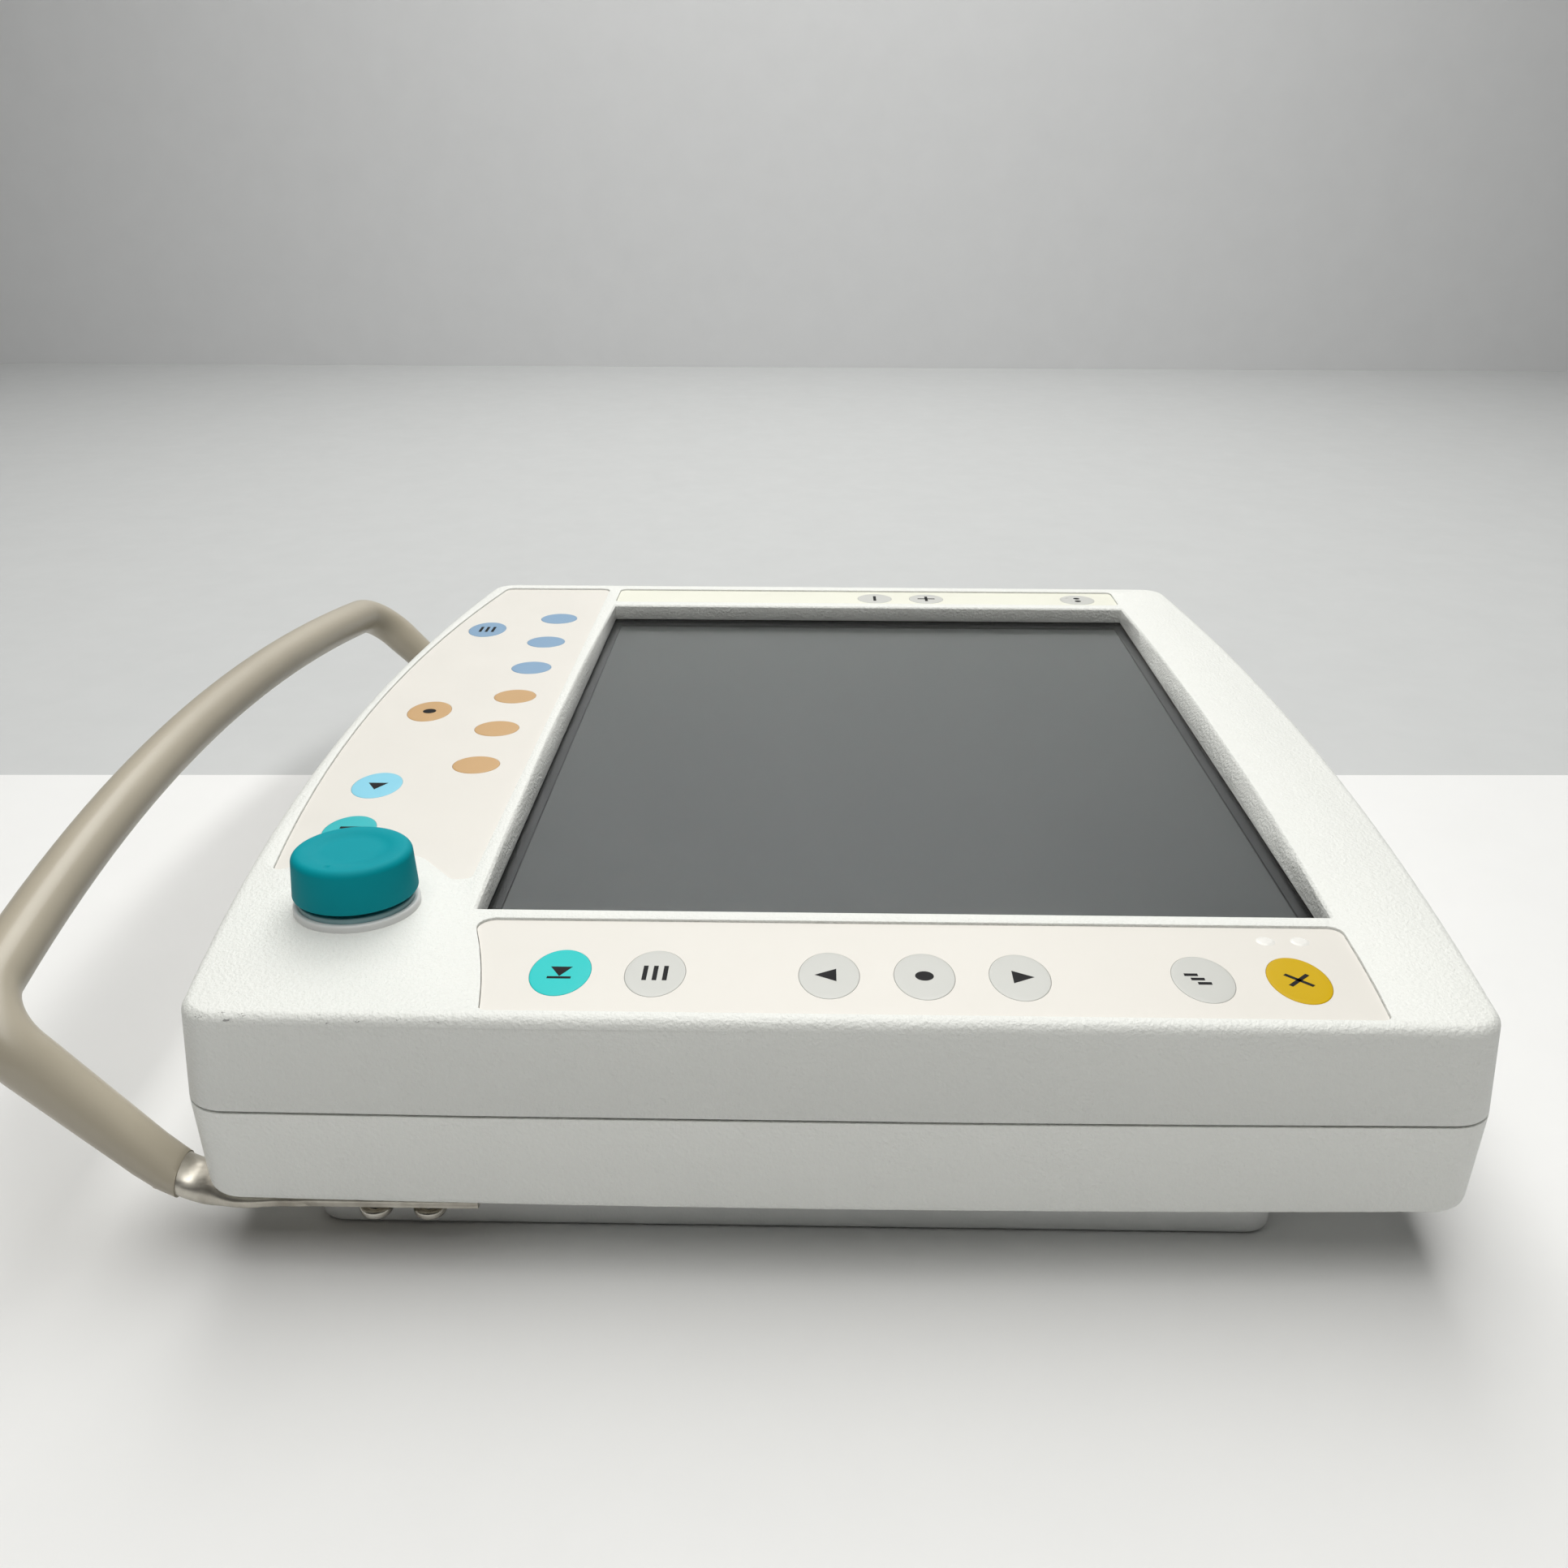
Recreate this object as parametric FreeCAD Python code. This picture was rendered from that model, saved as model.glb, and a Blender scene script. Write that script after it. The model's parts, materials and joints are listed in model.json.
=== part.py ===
"""Flat panel patient monitor with a carrying handle, a turn-and-push knob and membrane keys.

Millimetres. The monitor lies on its back: +Z is the way the screen faces, +Y is the top of
the screen in use and +X its right-hand side. The origin is the centre of the rear bolt
pattern, on the back face that the monitor rests on.
"""

import FreeCAD
import Part
import math
import os

V = FreeCAD.Vector

# ---------------------------------------------------------------- driving dimensions
# Depth levels, from the resting face to the front face.
Z_BACK = 0.0
Z_COVER_BACK = 22.3
Z_PARTING = 50.3
Z_PILLAR = 54.7
Z_FACE = 77.2

# Casing outline at the parting line.
CASE_HALF_W = 204.25
CASE_TOP_Y = 183.9
CASE_TOP_R = 1820.0
CASE_BOTTOM_Y = -167.5
CASE_BOTTOM_R = 1258.5
CASE_CORNER_R = 12.0
CASE_CORNER_MIN_R = 1.5
FACE_INSET = 1.5
BACK_INSET = 1.7
SIDE_BOW_Y = 150.0
SIDE_BOW_FACE = 0.2
SIDE_BOW_BACK = 2.0
WALL = 3.0
FACE_EDGE_R = 3.0
BACK_EDGE_R = 3.5
PARTING_GAP = 0.8
SEAL_SET_BACK = 1.3

# Front plate and screen opening.
PLATE = 4.5
SCREEN_X = -10.75
SCREEN_Y = 29.0
OPENING_HALF_W = 155.2
OPENING_HALF_H = 117.2
OPENING_TOP_BOW = 3.6
OPENING_BOTTOM_BOW = 2.1
OPENING_LIP = 0.8
GLASS_DEPTH = 6.8
GLASS_T = 2.0
GLASS_MARGIN = 5.3
COLLAR_T = 3.2

# Keypad strips, laid in recesses of the front face.
RECESS = 2.6
OVERLAY_SINK = 0.7
SHEET_T = 0.6
OVERLAY_GAP = 0.2
ROUND_KEY = (8.0, 8.0)
SIDE_KEY = (11.85, 7.75)
LABEL_KEY = (11.1, 8.0)
KEY_FIT = 0.1
KEY_T = 0.9
KEY_PROUD = 0.1
KEY_BEVEL = 0.3
LED_R = 2.5

# Turn-and-push knob.
KNOB_X = 147.45
KNOB_Y = -120.1
BOSS_R = 27.0
BOSS_TOP_R = 18.2
BOSS_H = 2.0
COLLAR_R = 17.0
COLLAR_BORE = 10.0
COLLAR_H = 2.0
COLLAR_EDGE = 0.6
DRUM_R = 15.7
DRUM_H = 1.6
KNOB_BASE_R = 16.8
KNOB_TOP_R = 16.0
KNOB_BASE_Z = 6.9
KNOB_TOP_Z = 19.0
KNOB_PUSH = 1.0
KNOB_RIM = 2.0
KNOB_BORE_R = 14.8
KNOB_ROOF = 8.0
KNOB_DISH_R = 11.0
KNOB_DISH = 0.5
KNOB_HUB_R = 6.0
KNOB_RIBS = 6
KNOB_RIB_T = 1.2
MARK_AT = (12.1, -3.3)
MARK_R = 2.0
MARK_DEPTH = 0.3
SHAFT_R = 3.0
SHAFT_FIT = 0.05
BUSHING_R = 4.5

# Handle: bent tube in a soft sleeve. Each leg narrows to an oval from the end of its round
# stretch on, bends down to the casing and comes out of the sleeve.
TUBE_R = 6.5
SLEEVE_T = 1.25
GRIP_HALF = 188.46
GRIP_Y = -208.4
GRIP_Z = 66.8
GRIP_BOW = 15.9
BEND_R = 19.6
LEG_SLOPE = 45.57
LEG_ROUND = 18.0
LEG_STRAIGHT = 56.9
FOOT_R = 30.0
FOOT_SLOPE = 20.0
FOOT_DRIFT = 0.022
FOOT_HALF_W = 6.9
FOOT_HALF_T = 4.65
FOOT_SLEEVE_T = 0.45
SLEEVE_END_Y = -160.7
SLEEVE_END_Z = 20.3
SLEEVE_END_SLOPE = 8.0

# Bare neck between the sleeve and the strap: y, z, x, half width, half thickness, squareness.
NECK = [
    (-152.5, 18.5, 189.4, 7.4, 4.6, 2.2),
    (-148.0, 19.0, 190.3, 8.3, 3.0, 2.8),
    (-143.0, 19.3, 191.0, 8.9, 2.2, 3.5),
    (-137.0, 20.0, 191.4, 9.15, 1.9, 4.5),
    (-129.0, 20.5, 191.4, 9.25, 1.75, 5.5),
]

# Straps and the screws and spacers that hold them.
STRAP_X = 191.4
STRAP_HALF_W = 9.3
STRAP_T = 3.2
STRAP_Y0 = -125.0
STRAP_Y1 = -80.5
STRAP_SQUARENESS = 7.0
STRAP_SCREWS = (-109.6, -95.4)
STRAP_HOLE_R = 2.3
SPACER_R = 3.0
SPACER_T = 5.0
DOME_R = 4.5
DOME_SEAT_R = 3.3
DOME_EDGE_T = 0.9
DOME_H = 3.4
STRAP_SCREW_TOP = 31.9
PILLAR_TOP = 34.0

# Rear block that the monitor rests on.
BLOCK_HALF_W = 182.0
BLOCK_HALF_H = 130.0
BLOCK_CORNER_R = 8.0
BLOCK_EDGE = 1.0
BLOCK_WALL = 2.5
BAY_HALF_W = 70.0
BAY_DEPTH = 30.0
MOUNT_PITCH = 100.0
MOUNTS = [(sx * MOUNT_PITCH / 2, sy * MOUNT_PITCH / 2) for sx in (1, -1) for sy in (1, -1)]
MOUNT_HOLE_R = 2.0
INSERT_R = 3.2
INSERT_TOP = 10.0

# Screen module.
MODULE_HALF_W = 163.25
MODULE_HALF_H = 126.75
ACTIVE_HALF_W = 152.05
ACTIVE_HALF_H = 114.05

# Screen stack, from the glass to the chassis.
GLASS_TOP = Z_FACE - GLASS_DEPTH
GLASS_BOTTOM = GLASS_TOP - GLASS_T
GASKET_T = 1.0
MODULE_TOP = GLASS_BOTTOM - GASKET_T
MODULE_T = 12.0
FRAME_T = 0.8
CELL_HALF_W = 158.5
CELL_HALF_H = 121.5
CELL_T = 1.4
LEDGE = 3.5
CHASSIS_Z = 51.2
CHASSIS_T = 1.5
CHASSIS_HALF_W = 180.0
CHASSIS_HALF_H = 108.0
CHASSIS_FLANGE = 9.0

# Boards: left, right, lower and upper edge.
BOARD_Z = 40.7
BOARD_T = 1.6
STANDOFF_FLATS = 5.5
DISPLAY_BOARD = (-105.0, 25.0, -30.0, 85.0)
INVERTER_BOARD = (60.0, 120.0, -40.0, 90.0)

# Cable bay in the rear block.
SOCKET_X = -22.0
SOCKET_Z = 10.5
JACKS_X = (SOCKET_X + 23.5, SOCKET_X - 23.5)
JACK_R = 1.5
STUD_X = 42.0
STUD_R = 3.0
BAY_WALL_Y = -BLOCK_HALF_H + BAY_DEPTH

# Loudspeaker behind the cover.
SPEAKER = (-96.0, -139.0)
SPEAKER_HOLE_R = 1.3
SPEAKER_HOLE_PITCH = 5.0

# Encoder under the knob.
ENCODER_TOP = Z_FACE - PLATE
ENCODER_H = 8.0
BUSHING_TOP = Z_FACE + BOSS_H + 3.4
ENCODER_HALF_W = 7.0
NUT_FLATS = 13.0
NUT_T = 2.2
SHAFT_BOTTOM = ENCODER_TOP - 4.0
SHAFT_FLAT_Y = 1.5
PLUNGER_T = 2.0

# Fasteners.
SCREW_R = 2.0
SMALL_SCREW_R = 1.5
SMALL_HOLE_R = 1.7
HEAD_R = 4.4
CASE_SEAT = 42.0
BLOCK_SEAT = 8.0
HEAD_H = 3.0

CASE_SCREWS = ((-150, 163), (0, 165), (150, 163), (-150, -139), (0, -146), (150, -139))
BLOCK_SCREWS = ((-170, 112), (170, 112), (-170, 0), (170, 0), (-170, -112), (170, -112))
CHASSIS_SCREWS = ((-175, 95), (175, 95), (-175, -95), (175, -95))
PANEL_SCREWS = ((-159.5, 100), (159.5, 100), (-159.5, -100), (159.5, -100))

# Keys: x, y, then half width and half height. Three strips: right, bottom and left.
RIGHT_X = 178.85
LEFT_X = -182.75
ROW_PITCH = 36.08
ROW_X0 = 35.95
ROW_UPPER_Y = -111.1
ROW_LOWER_Y = -140.0
RIGHT_KEYS = [(RIGHT_X, y, *SIDE_KEY) for y in (-59.7, -35.5, 8.75, 32.95, 57.15, 103.4, 127.6)]
UPPER_KEYS = [(ROW_X0 - i * ROW_PITCH, ROW_UPPER_Y, *ROUND_KEY) for i in range(6)]
LOWER_KEYS = [
    (91.75, -138.8, *LABEL_KEY),
    (55.15, ROW_LOWER_Y, *LABEL_KEY),
    (-18.15, ROW_LOWER_Y, *LABEL_KEY),
    (-126.35, ROW_LOWER_Y, *LABEL_KEY),
]
LEFT_KEYS = [(LEFT_X, y, *ROUND_KEY) for y in (32.8, 57.2, 128.6)]
LED_SPOTS = [(157.95, 124.8), (157.95, 133.9)]

# Outlines of the strips: x, y, corner radius, bulge of the edge that starts at the corner.
RIGHT_STRIP = [
    (150.2, 146.9, 4.0, 0.0),
    (150.2, -87.8, 5.0, -1.2),
    (198.8, -76.6, 2.0, 0.0),
    (198.8, 144.2, 2.5, 0.5),
]
BOTTOM_STRIP = [
    (-195.2, -94.2, 4.0, 0.0),
    (-194.9, -143.6, 4.0, 13.5),
    (123.4, -152.4, 2.0, -5.2),
    (110.6, -112.0, 12.0, 0.0),
    (127.0, -99.0, 3.0, 0.0),
    (125.8, -93.6, 2.6, 0.0),
]
LEFT_STRIP = [
    (-194.8, 146.2, 3.0, 0.0),
    (-194.8, -89.0, 3.0, 0.0),
    (-171.8, -89.0, 3.0, 0.0),
    (-171.8, 146.4, 3.0, 0.0),
]


# ---------------------------------------------------------------- shape helpers
def box(x0, x1, y0, y1, z0, z1):
    """Block between two corners."""
    return Part.makeBox(x1 - x0, y1 - y0, z1 - z0, V(x0, y0, z0))


def disc(x, y, z0, z1, r):
    """Round bar along Z."""
    return Part.makeCylinder(r, z1 - z0, V(x, y, z0))


def oval(x, y, z0, z1, half_w, half_h):
    """Elliptical bar along Z."""
    if half_w == half_h:
        return disc(x, y, z0, z1, half_w)
    curve = Part.Ellipse(V(x, y, z0), half_w, half_h)
    return Part.Face(Part.Wire(curve.toShape())).extrude(V(0, 0, z1 - z0))


def ring(x, y, z0, z1, r_out, r_in):
    """Round bar along Z with a through bore."""
    return disc(x, y, z0, z1, r_out).cut(disc(x, y, z0, z1, r_in))


def hexagon(x, y, z0, z1, across_flats):
    """Hexagonal bar along Z."""
    r = across_flats / math.sqrt(3.0)
    corners = [
        V(x + r * math.cos(math.radians(a)), y + r * math.sin(math.radians(a)), z0)
        for a in range(0, 361, 60)
    ]
    return Part.Face(Part.makePolygon(corners)).extrude(V(0, 0, z1 - z0))


def arc(a, mid, b):
    """Circular edge through three points."""
    return Part.Arc(a, mid, b).toShape()


def line(a, b):
    """Straight edge."""
    return Part.LineSegment(a, b).toShape()


def fuse(shapes):
    """One solid from shapes that touch."""
    return shapes[0].multiFuse(shapes[1:]).removeSplitter()


def cut(shape, tools):
    """The shape with every tool taken away."""
    return shape.cut(Part.makeCompound(tools))


def revolved(points, x, y):
    """Solid of revolution about a Z axis through (x, y), from (radius, z) points."""
    outline = [V(x + r, y, z) for r, z in points]
    face = Part.Face(Part.makePolygon(outline + outline[:1]))
    return face.revolve(V(x, y, 0), V(0, 0, 1), 360)


def edges_at(shape, z, tolerance=0.01):
    """Edges that lie in the plane at height z."""
    return [e for e in shape.Edges if all(abs(v.Z - z) < tolerance for v in e.Vertexes)]


def mirrored(shape):
    """The same piece on the other side of the casing."""
    return shape.mirror(V(0, 0, 0), V(1, 0, 0))


def export(name, solids):
    """Write one node from a list of solids."""
    shape = solids[0] if len(solids) == 1 else Part.makeCompound(solids)
    shape.exportStep(f"parts/{name}.step")


# ---------------------------------------------------------------- casing outline
def meeting_point(a, reach_a, b, reach_b):
    """Right-hand one of the two points at the given distances from two centres."""
    apart = (b - a).Length
    along = (reach_a**2 - reach_b**2 + apart**2) / (2 * apart)
    across = math.sqrt(reach_a**2 - along**2)
    way = (b - a) * (1.0 / apart)
    square = V(-way.y, way.x, 0)
    return max([a + way * along + square * k for k in (across, -across)], key=lambda p: p.x)


def corner_points(side_x, side_r, end_y, end_r, corner):
    """Start, middle and end of the arc that rounds a right-hand corner of the casing."""
    side_centre = V(side_x, 0, 0)
    end_centre = V(0, end_y, 0)
    centre = meeting_point(side_centre, side_r - corner, end_centre, end_r - corner)
    to_side = (centre - side_centre).normalize()
    to_end = (centre - end_centre).normalize()
    between = (to_side + to_end).normalize()
    return [centre + way * corner for way in (to_side, between, to_end)]


def casing_wire(inset, z):
    """Casing outline at height z, moved inwards all round by the inset.

    The sides bulge a little, more towards the back.
    """
    share = (Z_FACE - z) / (Z_FACE - Z_COVER_BACK)
    bow = SIDE_BOW_FACE + (SIDE_BOW_BACK - SIDE_BOW_FACE) * share
    side_r = (SIDE_BOW_Y**2 + bow**2) / (2 * bow)
    side_x = CASE_HALF_W + bow - side_r
    corner = max(CASE_CORNER_R - inset, CASE_CORNER_MIN_R)
    upper, lower = [
        corner_points(side_x, side_r - inset, end_y, end_r - inset, corner)
        for end_y, end_r in (
            (CASE_TOP_Y - CASE_TOP_R, CASE_TOP_R),
            (CASE_BOTTOM_Y + CASE_BOTTOM_R, CASE_BOTTOM_R),
        )
    ]
    upper_left, lower_left = [[V(-p.x, p.y, 0) for p in points] for points in (upper, lower)]
    middle = V(CASE_HALF_W + bow - inset, 0, 0)
    edges = [
        arc(lower[0], middle, upper[0]),
        arc(*upper),
        arc(upper[2], V(0, CASE_TOP_Y - inset, 0), upper_left[2]),
        arc(*reversed(upper_left)),
        arc(upper_left[0], middle * -1.0, lower_left[0]),
        arc(*lower_left),
        arc(lower_left[2], V(0, CASE_BOTTOM_Y + inset, 0), lower[2]),
        arc(*reversed(lower)),
    ]
    wire = Part.Wire(edges)
    wire.translate(V(0, 0, z))
    return wire


def casing_loft(inset0, z0, inset1, z1):
    """Solid between two casing outlines."""
    return Part.makeLoft([casing_wire(inset0, z0), casing_wire(inset1, z1)], True, True)


def opening_wire(grow, top_bow, bottom_bow, z):
    """Screen opening outline: straight sides, bowed top and bottom edges."""
    half_w = OPENING_HALF_W + grow
    half_h = OPENING_HALF_H + grow
    x0, x1 = SCREEN_X - half_w, SCREEN_X + half_w
    y0, y1 = SCREEN_Y - half_h, SCREEN_Y + half_h
    edges = [
        line(V(x1, y0, z), V(x1, y1, z)),
        arc(V(x1, y1, z), V(SCREEN_X, y1 + top_bow, z), V(x0, y1, z)),
        line(V(x0, y1, z), V(x0, y0, z)),
        arc(V(x0, y0, z), V(SCREEN_X, y0 - bottom_bow, z), V(x1, y0, z)),
    ]
    return Part.Wire(edges)


def plate(corners, z0, z1, inset=0.0):
    """Flat plate with rounded corners and arched edges, moved inwards by the inset."""
    edges = []
    for here, there in zip(corners, corners[1:] + corners[:1]):
        a = V(here[0], here[1], z0)
        b = V(there[0], there[1], z0)
        if here[3]:
            along = (b - a).normalize()
            outwards = V(-along.y, along.x, 0) * -1.0
            edges.append(arc(a, (a + b) * 0.5 + outwards * here[3], b))
        else:
            edges.append(line(a, b))
    face = Part.Face(Part.Wire(edges))
    if inset:
        face = face.makeOffset2D(-inset, join=2)
    solid = face.extrude(V(0, 0, z1 - z0))
    for x, y, radius, _ in corners:
        upright = [
            e
            for e in solid.Edges
            if abs(e.Vertexes[0].Z - e.Vertexes[-1].Z) > 0.5 * (z1 - z0)
            and math.hypot(e.Vertexes[0].X - x, e.Vertexes[0].Y - y) < 1.0 + 2 * inset
        ]
        if upright:
            solid = solid.makeFillet(max(radius - inset, 0.5), upright[:1])
    return solid


# ---------------------------------------------------------------- casing pieces
def front_bezel():
    """Front half of the casing: face plate, side wall, screen collar and knob boss."""
    bottom = Z_PARTING + 0.5 * PARTING_GAP
    under_plate = Z_FACE - PLATE
    glass_z = Z_FACE - GLASS_DEPTH
    shell = casing_loft(0.0, bottom, FACE_INSET, Z_FACE)
    shell = shell.makeFillet(FACE_EDGE_R, edges_at(shell, Z_FACE))
    shell = shell.cut(casing_loft(WALL, bottom, WALL + FACE_INSET, under_plate))
    collar = Part.Face(opening_wire(COLLAR_T, OPENING_TOP_BOW, OPENING_BOTTOM_BOW, glass_z))
    boss = revolved(
        [
            (0, 0),
            (BOSS_R, 0),
            (0.62 * BOSS_R + 0.38 * BOSS_TOP_R, 0.28 * BOSS_H),
            (BOSS_TOP_R, BOSS_H),
            (0, BOSS_H),
        ],
        KNOB_X,
        KNOB_Y,
    )
    boss.translate(V(0, 0, Z_FACE))
    bosses = [disc(x, y, Z_PILLAR, under_plate, 5.0) for x, y in CASE_SCREWS]
    bosses += [
        disc(SCREEN_X + x, SCREEN_Y + y, CHASSIS_Z, under_plate, 4.5) for x, y in CHASSIS_SCREWS
    ]
    shell = fuse([shell, collar.extrude(V(0, 0, under_plate - glass_z)), boss] + bosses)
    reveal = Part.makeLoft(
        [
            opening_wire(0.0, 0.2, 0.2, glass_z),
            opening_wire(0.1, OPENING_TOP_BOW, OPENING_BOTTOM_BOW, Z_FACE - OPENING_LIP),
            opening_wire(0.9, OPENING_TOP_BOW, OPENING_BOTTOM_BOW, Z_FACE),
        ],
        True,
        True,
    )
    floor = Z_FACE - RECESS
    tools = [reveal]
    tools += [plate(s, floor, Z_FACE + 1.0) for s in (RIGHT_STRIP, BOTTOM_STRIP, LEFT_STRIP)]
    tools.append(disc(KNOB_X, KNOB_Y, under_plate - 1.0, Z_FACE + BOSS_H + 1.0, BUSHING_R + 0.1))
    tools += [disc(x, y, bottom, under_plate - 8.0, SCREW_R) for x, y in CASE_SCREWS]
    tools += [
        disc(SCREEN_X + x, SCREEN_Y + y, bottom, CHASSIS_Z + 9.0, 1.5) for x, y in CHASSIS_SCREWS
    ]
    return cut(shell, tools)


def speaker_holes(x, y, z0, z1):
    """Hexagonal cluster of round sound holes."""
    pitch = SPEAKER_HOLE_PITCH
    holes = []
    for row in range(-2, 3):
        for column in range(5 - abs(row)):
            hole_x = x + (column - 0.5 * (4 - abs(row))) * pitch
            holes.append(disc(hole_x, y + row * pitch * 0.866, z0, z1, SPEAKER_HOLE_R))
    return holes


def cover_body():
    """Outer volume of the rear half of the casing."""
    body = casing_loft(BACK_INSET, Z_COVER_BACK, 0.0, Z_PARTING - 0.5 * PARTING_GAP)
    return body.makeFillet(BACK_EDGE_R, edges_at(body, Z_COVER_BACK))


def rear_cover():
    """Rear half of the casing, with screw wells, handle pillars and sound holes."""
    top = Z_PARTING - 0.5 * PARTING_GAP
    inner = Z_COVER_BACK + WALL
    shell = cover_body().cut(casing_loft(BACK_INSET + WALL, inner, WALL, top))
    pillars = [disc(x, y, inner - 1.0, Z_PILLAR, 6.5) for x, y in CASE_SCREWS]
    pillars += [disc(x, y, inner - 1.0, PILLAR_TOP, 4.5) for x, y in BLOCK_SCREWS]
    pillars += [disc(x, y, inner - 1.0, PILLAR_TOP, 5.0) for x, y in strap_spots()]
    shell = fuse([shell] + pillars)
    tools = [disc(x, y, Z_COVER_BACK - 1.0, CASE_SEAT, HEAD_R + 0.4) for x, y in CASE_SCREWS]
    tools += [
        disc(x, y, CASE_SEAT - 1.0, Z_PILLAR + 1.0, SCREW_R + 0.2) for x, y in CASE_SCREWS
    ]
    tools += [disc(x, y, Z_COVER_BACK - 1.0, 32.0, 1.55) for x, y in BLOCK_SCREWS]
    tools += [
        disc(x, y, Z_COVER_BACK - 1.0, STRAP_SCREW_TOP + 1.0, SCREW_R) for x, y in strap_spots()
    ]
    tools.append(box(-130, 130, -60, 95, Z_COVER_BACK - 1.0, inner + 1.0))
    tools += speaker_holes(*SPEAKER, Z_COVER_BACK - 1.0, inner + 1.0)
    return cut(shell, tools)


def casing_seal():
    """Rubber cord that closes the gap between the casing halves."""
    z0 = Z_PARTING - 0.5 * PARTING_GAP
    outer = Part.Face(casing_wire(SEAL_SET_BACK, z0)).extrude(V(0, 0, PARTING_GAP))
    inner = Part.Face(casing_wire(WALL - 0.1, z0)).extrude(V(0, 0, PARTING_GAP))
    return outer.cut(inner)


def vent_slots():
    """Two fields of slots in the back face, and a row in the top wall of the block."""
    slots = []
    for side in (1, -1):
        for i in range(9):
            x = side * (78.0 + 9.0 * i)
            slot = box(x - 1.6, x + 1.6, -45, 45, -1.0, BLOCK_WALL + 1.0)
            slots.append(slot)
    for i in range(23):
        x = -132.0 + 12.0 * i
        slots.append(box(x - 2.0, x + 2.0, BLOCK_HALF_H - 5, BLOCK_HALF_H + 1, 6.5, 15.0))
    return slots


def rear_block():
    """Shallow tray on the back, open to the casing, with the cable bay in its lower edge."""
    w, h, b = BLOCK_HALF_W, BLOCK_HALF_H, BAY_HALF_W
    solid = box(-w, w, -h, h, Z_BACK, Z_COVER_BACK)
    uprights = [e for e in solid.Edges if abs(e.Vertexes[0].Z - e.Vertexes[1].Z) > 1]
    solid = solid.makeFillet(BLOCK_CORNER_R, uprights)
    solid = solid.makeChamfer(BLOCK_EDGE, edges_at(solid, Z_BACK))
    t = BLOCK_WALL
    hollow = box(-w + t, w - t, -h + t, h - t, Z_BACK + t, Z_COVER_BACK)
    uprights = [e for e in hollow.Edges if abs(e.Vertexes[0].Z - e.Vertexes[1].Z) > 1]
    hollow = hollow.makeFillet(BLOCK_CORNER_R - t, uprights)
    hollow = hollow.makeChamfer(BLOCK_EDGE, edges_at(hollow, Z_BACK + t))
    hollow = hollow.cut(box(-b - t, b + t, -h, -h + BAY_DEPTH + t, Z_BACK, Z_COVER_BACK))
    solid = solid.cut(hollow)
    posts = [disc(x, y, Z_BACK, Z_COVER_BACK, 6.5) for x, y in BLOCK_SCREWS]
    posts += [disc(x, y, Z_BACK, INSERT_TOP + 2.0, 6.0) for x, y in MOUNTS]
    solid = fuse([solid] + posts)
    tools = [box(-b, b, -h - 1, -h + BAY_DEPTH, Z_BACK - 1, Z_COVER_BACK + 1)]
    tools += [disc(x, y, -1.0, BLOCK_SEAT, HEAD_R + 0.4) for x, y in BLOCK_SCREWS]
    tools += [
        disc(x, y, BLOCK_SEAT - 1.0, Z_COVER_BACK + 1.0, SMALL_HOLE_R) for x, y in BLOCK_SCREWS
    ]
    tools += [disc(x, y, -1.0, INSERT_TOP, INSERT_R) for x, y in MOUNTS]
    tools += socket_cutouts()
    return cut(solid, tools + vent_slots())


# ---------------------------------------------------------------- cable bay


def d_profile(half_w, half_h, y0, y1):
    """Trapezoid prism along Y with the D outline of a data socket."""
    lean = 0.18 * half_h
    corners = [
        V(SOCKET_X - half_w - lean, y0, SOCKET_Z - half_h),
        V(SOCKET_X + half_w + lean, y0, SOCKET_Z - half_h),
        V(SOCKET_X + half_w - lean, y0, SOCKET_Z + half_h),
        V(SOCKET_X - half_w + lean, y0, SOCKET_Z + half_h),
    ]
    face = Part.Face(Part.makePolygon(corners + corners[:1]))
    solid = face.extrude(V(0, y1 - y0, 0))
    uprights = [e for e in solid.Edges if abs(e.Vertexes[0].Y - e.Vertexes[1].Y) > 0.9 * (y1 - y0)]
    return solid.makeFillet(1.8, uprights)


def bar_y(x, z, y0, y1, r):
    """Round bar along Y."""
    return Part.makeCylinder(r, y1 - y0, V(x, y0, z), V(0, 1, 0))


def socket_cutouts():
    """Holes in the bay wall for the display cable socket, its jack screws and the earth stud."""
    y0, y1 = BAY_WALL_Y - 1.0, BAY_WALL_Y + BLOCK_WALL + 1.0
    holes = [d_profile(19.9, 4.5, y0, y1)]
    holes += [bar_y(x, SOCKET_Z, y0, y1, JACK_R + 0.1) for x in JACKS_X]
    holes.append(bar_y(STUD_X, SOCKET_Z, y0, y1, STUD_R + 0.05))
    return holes


def cable_socket():
    """Display cable socket: metal flange, D shroud and contact block."""
    wall_in = BAY_WALL_Y + BLOCK_WALL
    flange = box(-26.5, 26.5, wall_in, wall_in + 1.0, SOCKET_Z - 6.2, SOCKET_Z + 6.2)
    flange.translate(V(SOCKET_X, 0, 0))
    shroud = d_profile(19.6, 4.2, BAY_WALL_Y - 5.0, wall_in + 8.0)
    body = fuse([flange, shroud])
    cavity = d_profile(19.0, 3.7, BAY_WALL_Y - 6.0, BAY_WALL_Y)
    holes = [bar_y(x, SOCKET_Z, wall_in - 1, wall_in + 2, JACK_R + 0.1) for x in JACKS_X]
    for row, count in ((1.4, 13), (-1.4, 12)):
        for i in range(count):
            x = SOCKET_X + (i - 0.5 * (count - 1)) * 2.77
            holes.append(bar_y(x, SOCKET_Z + row, BAY_WALL_Y - 1.0, BAY_WALL_Y + 3.0, 0.6))
    return cut(body, [cavity] + holes)


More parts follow.
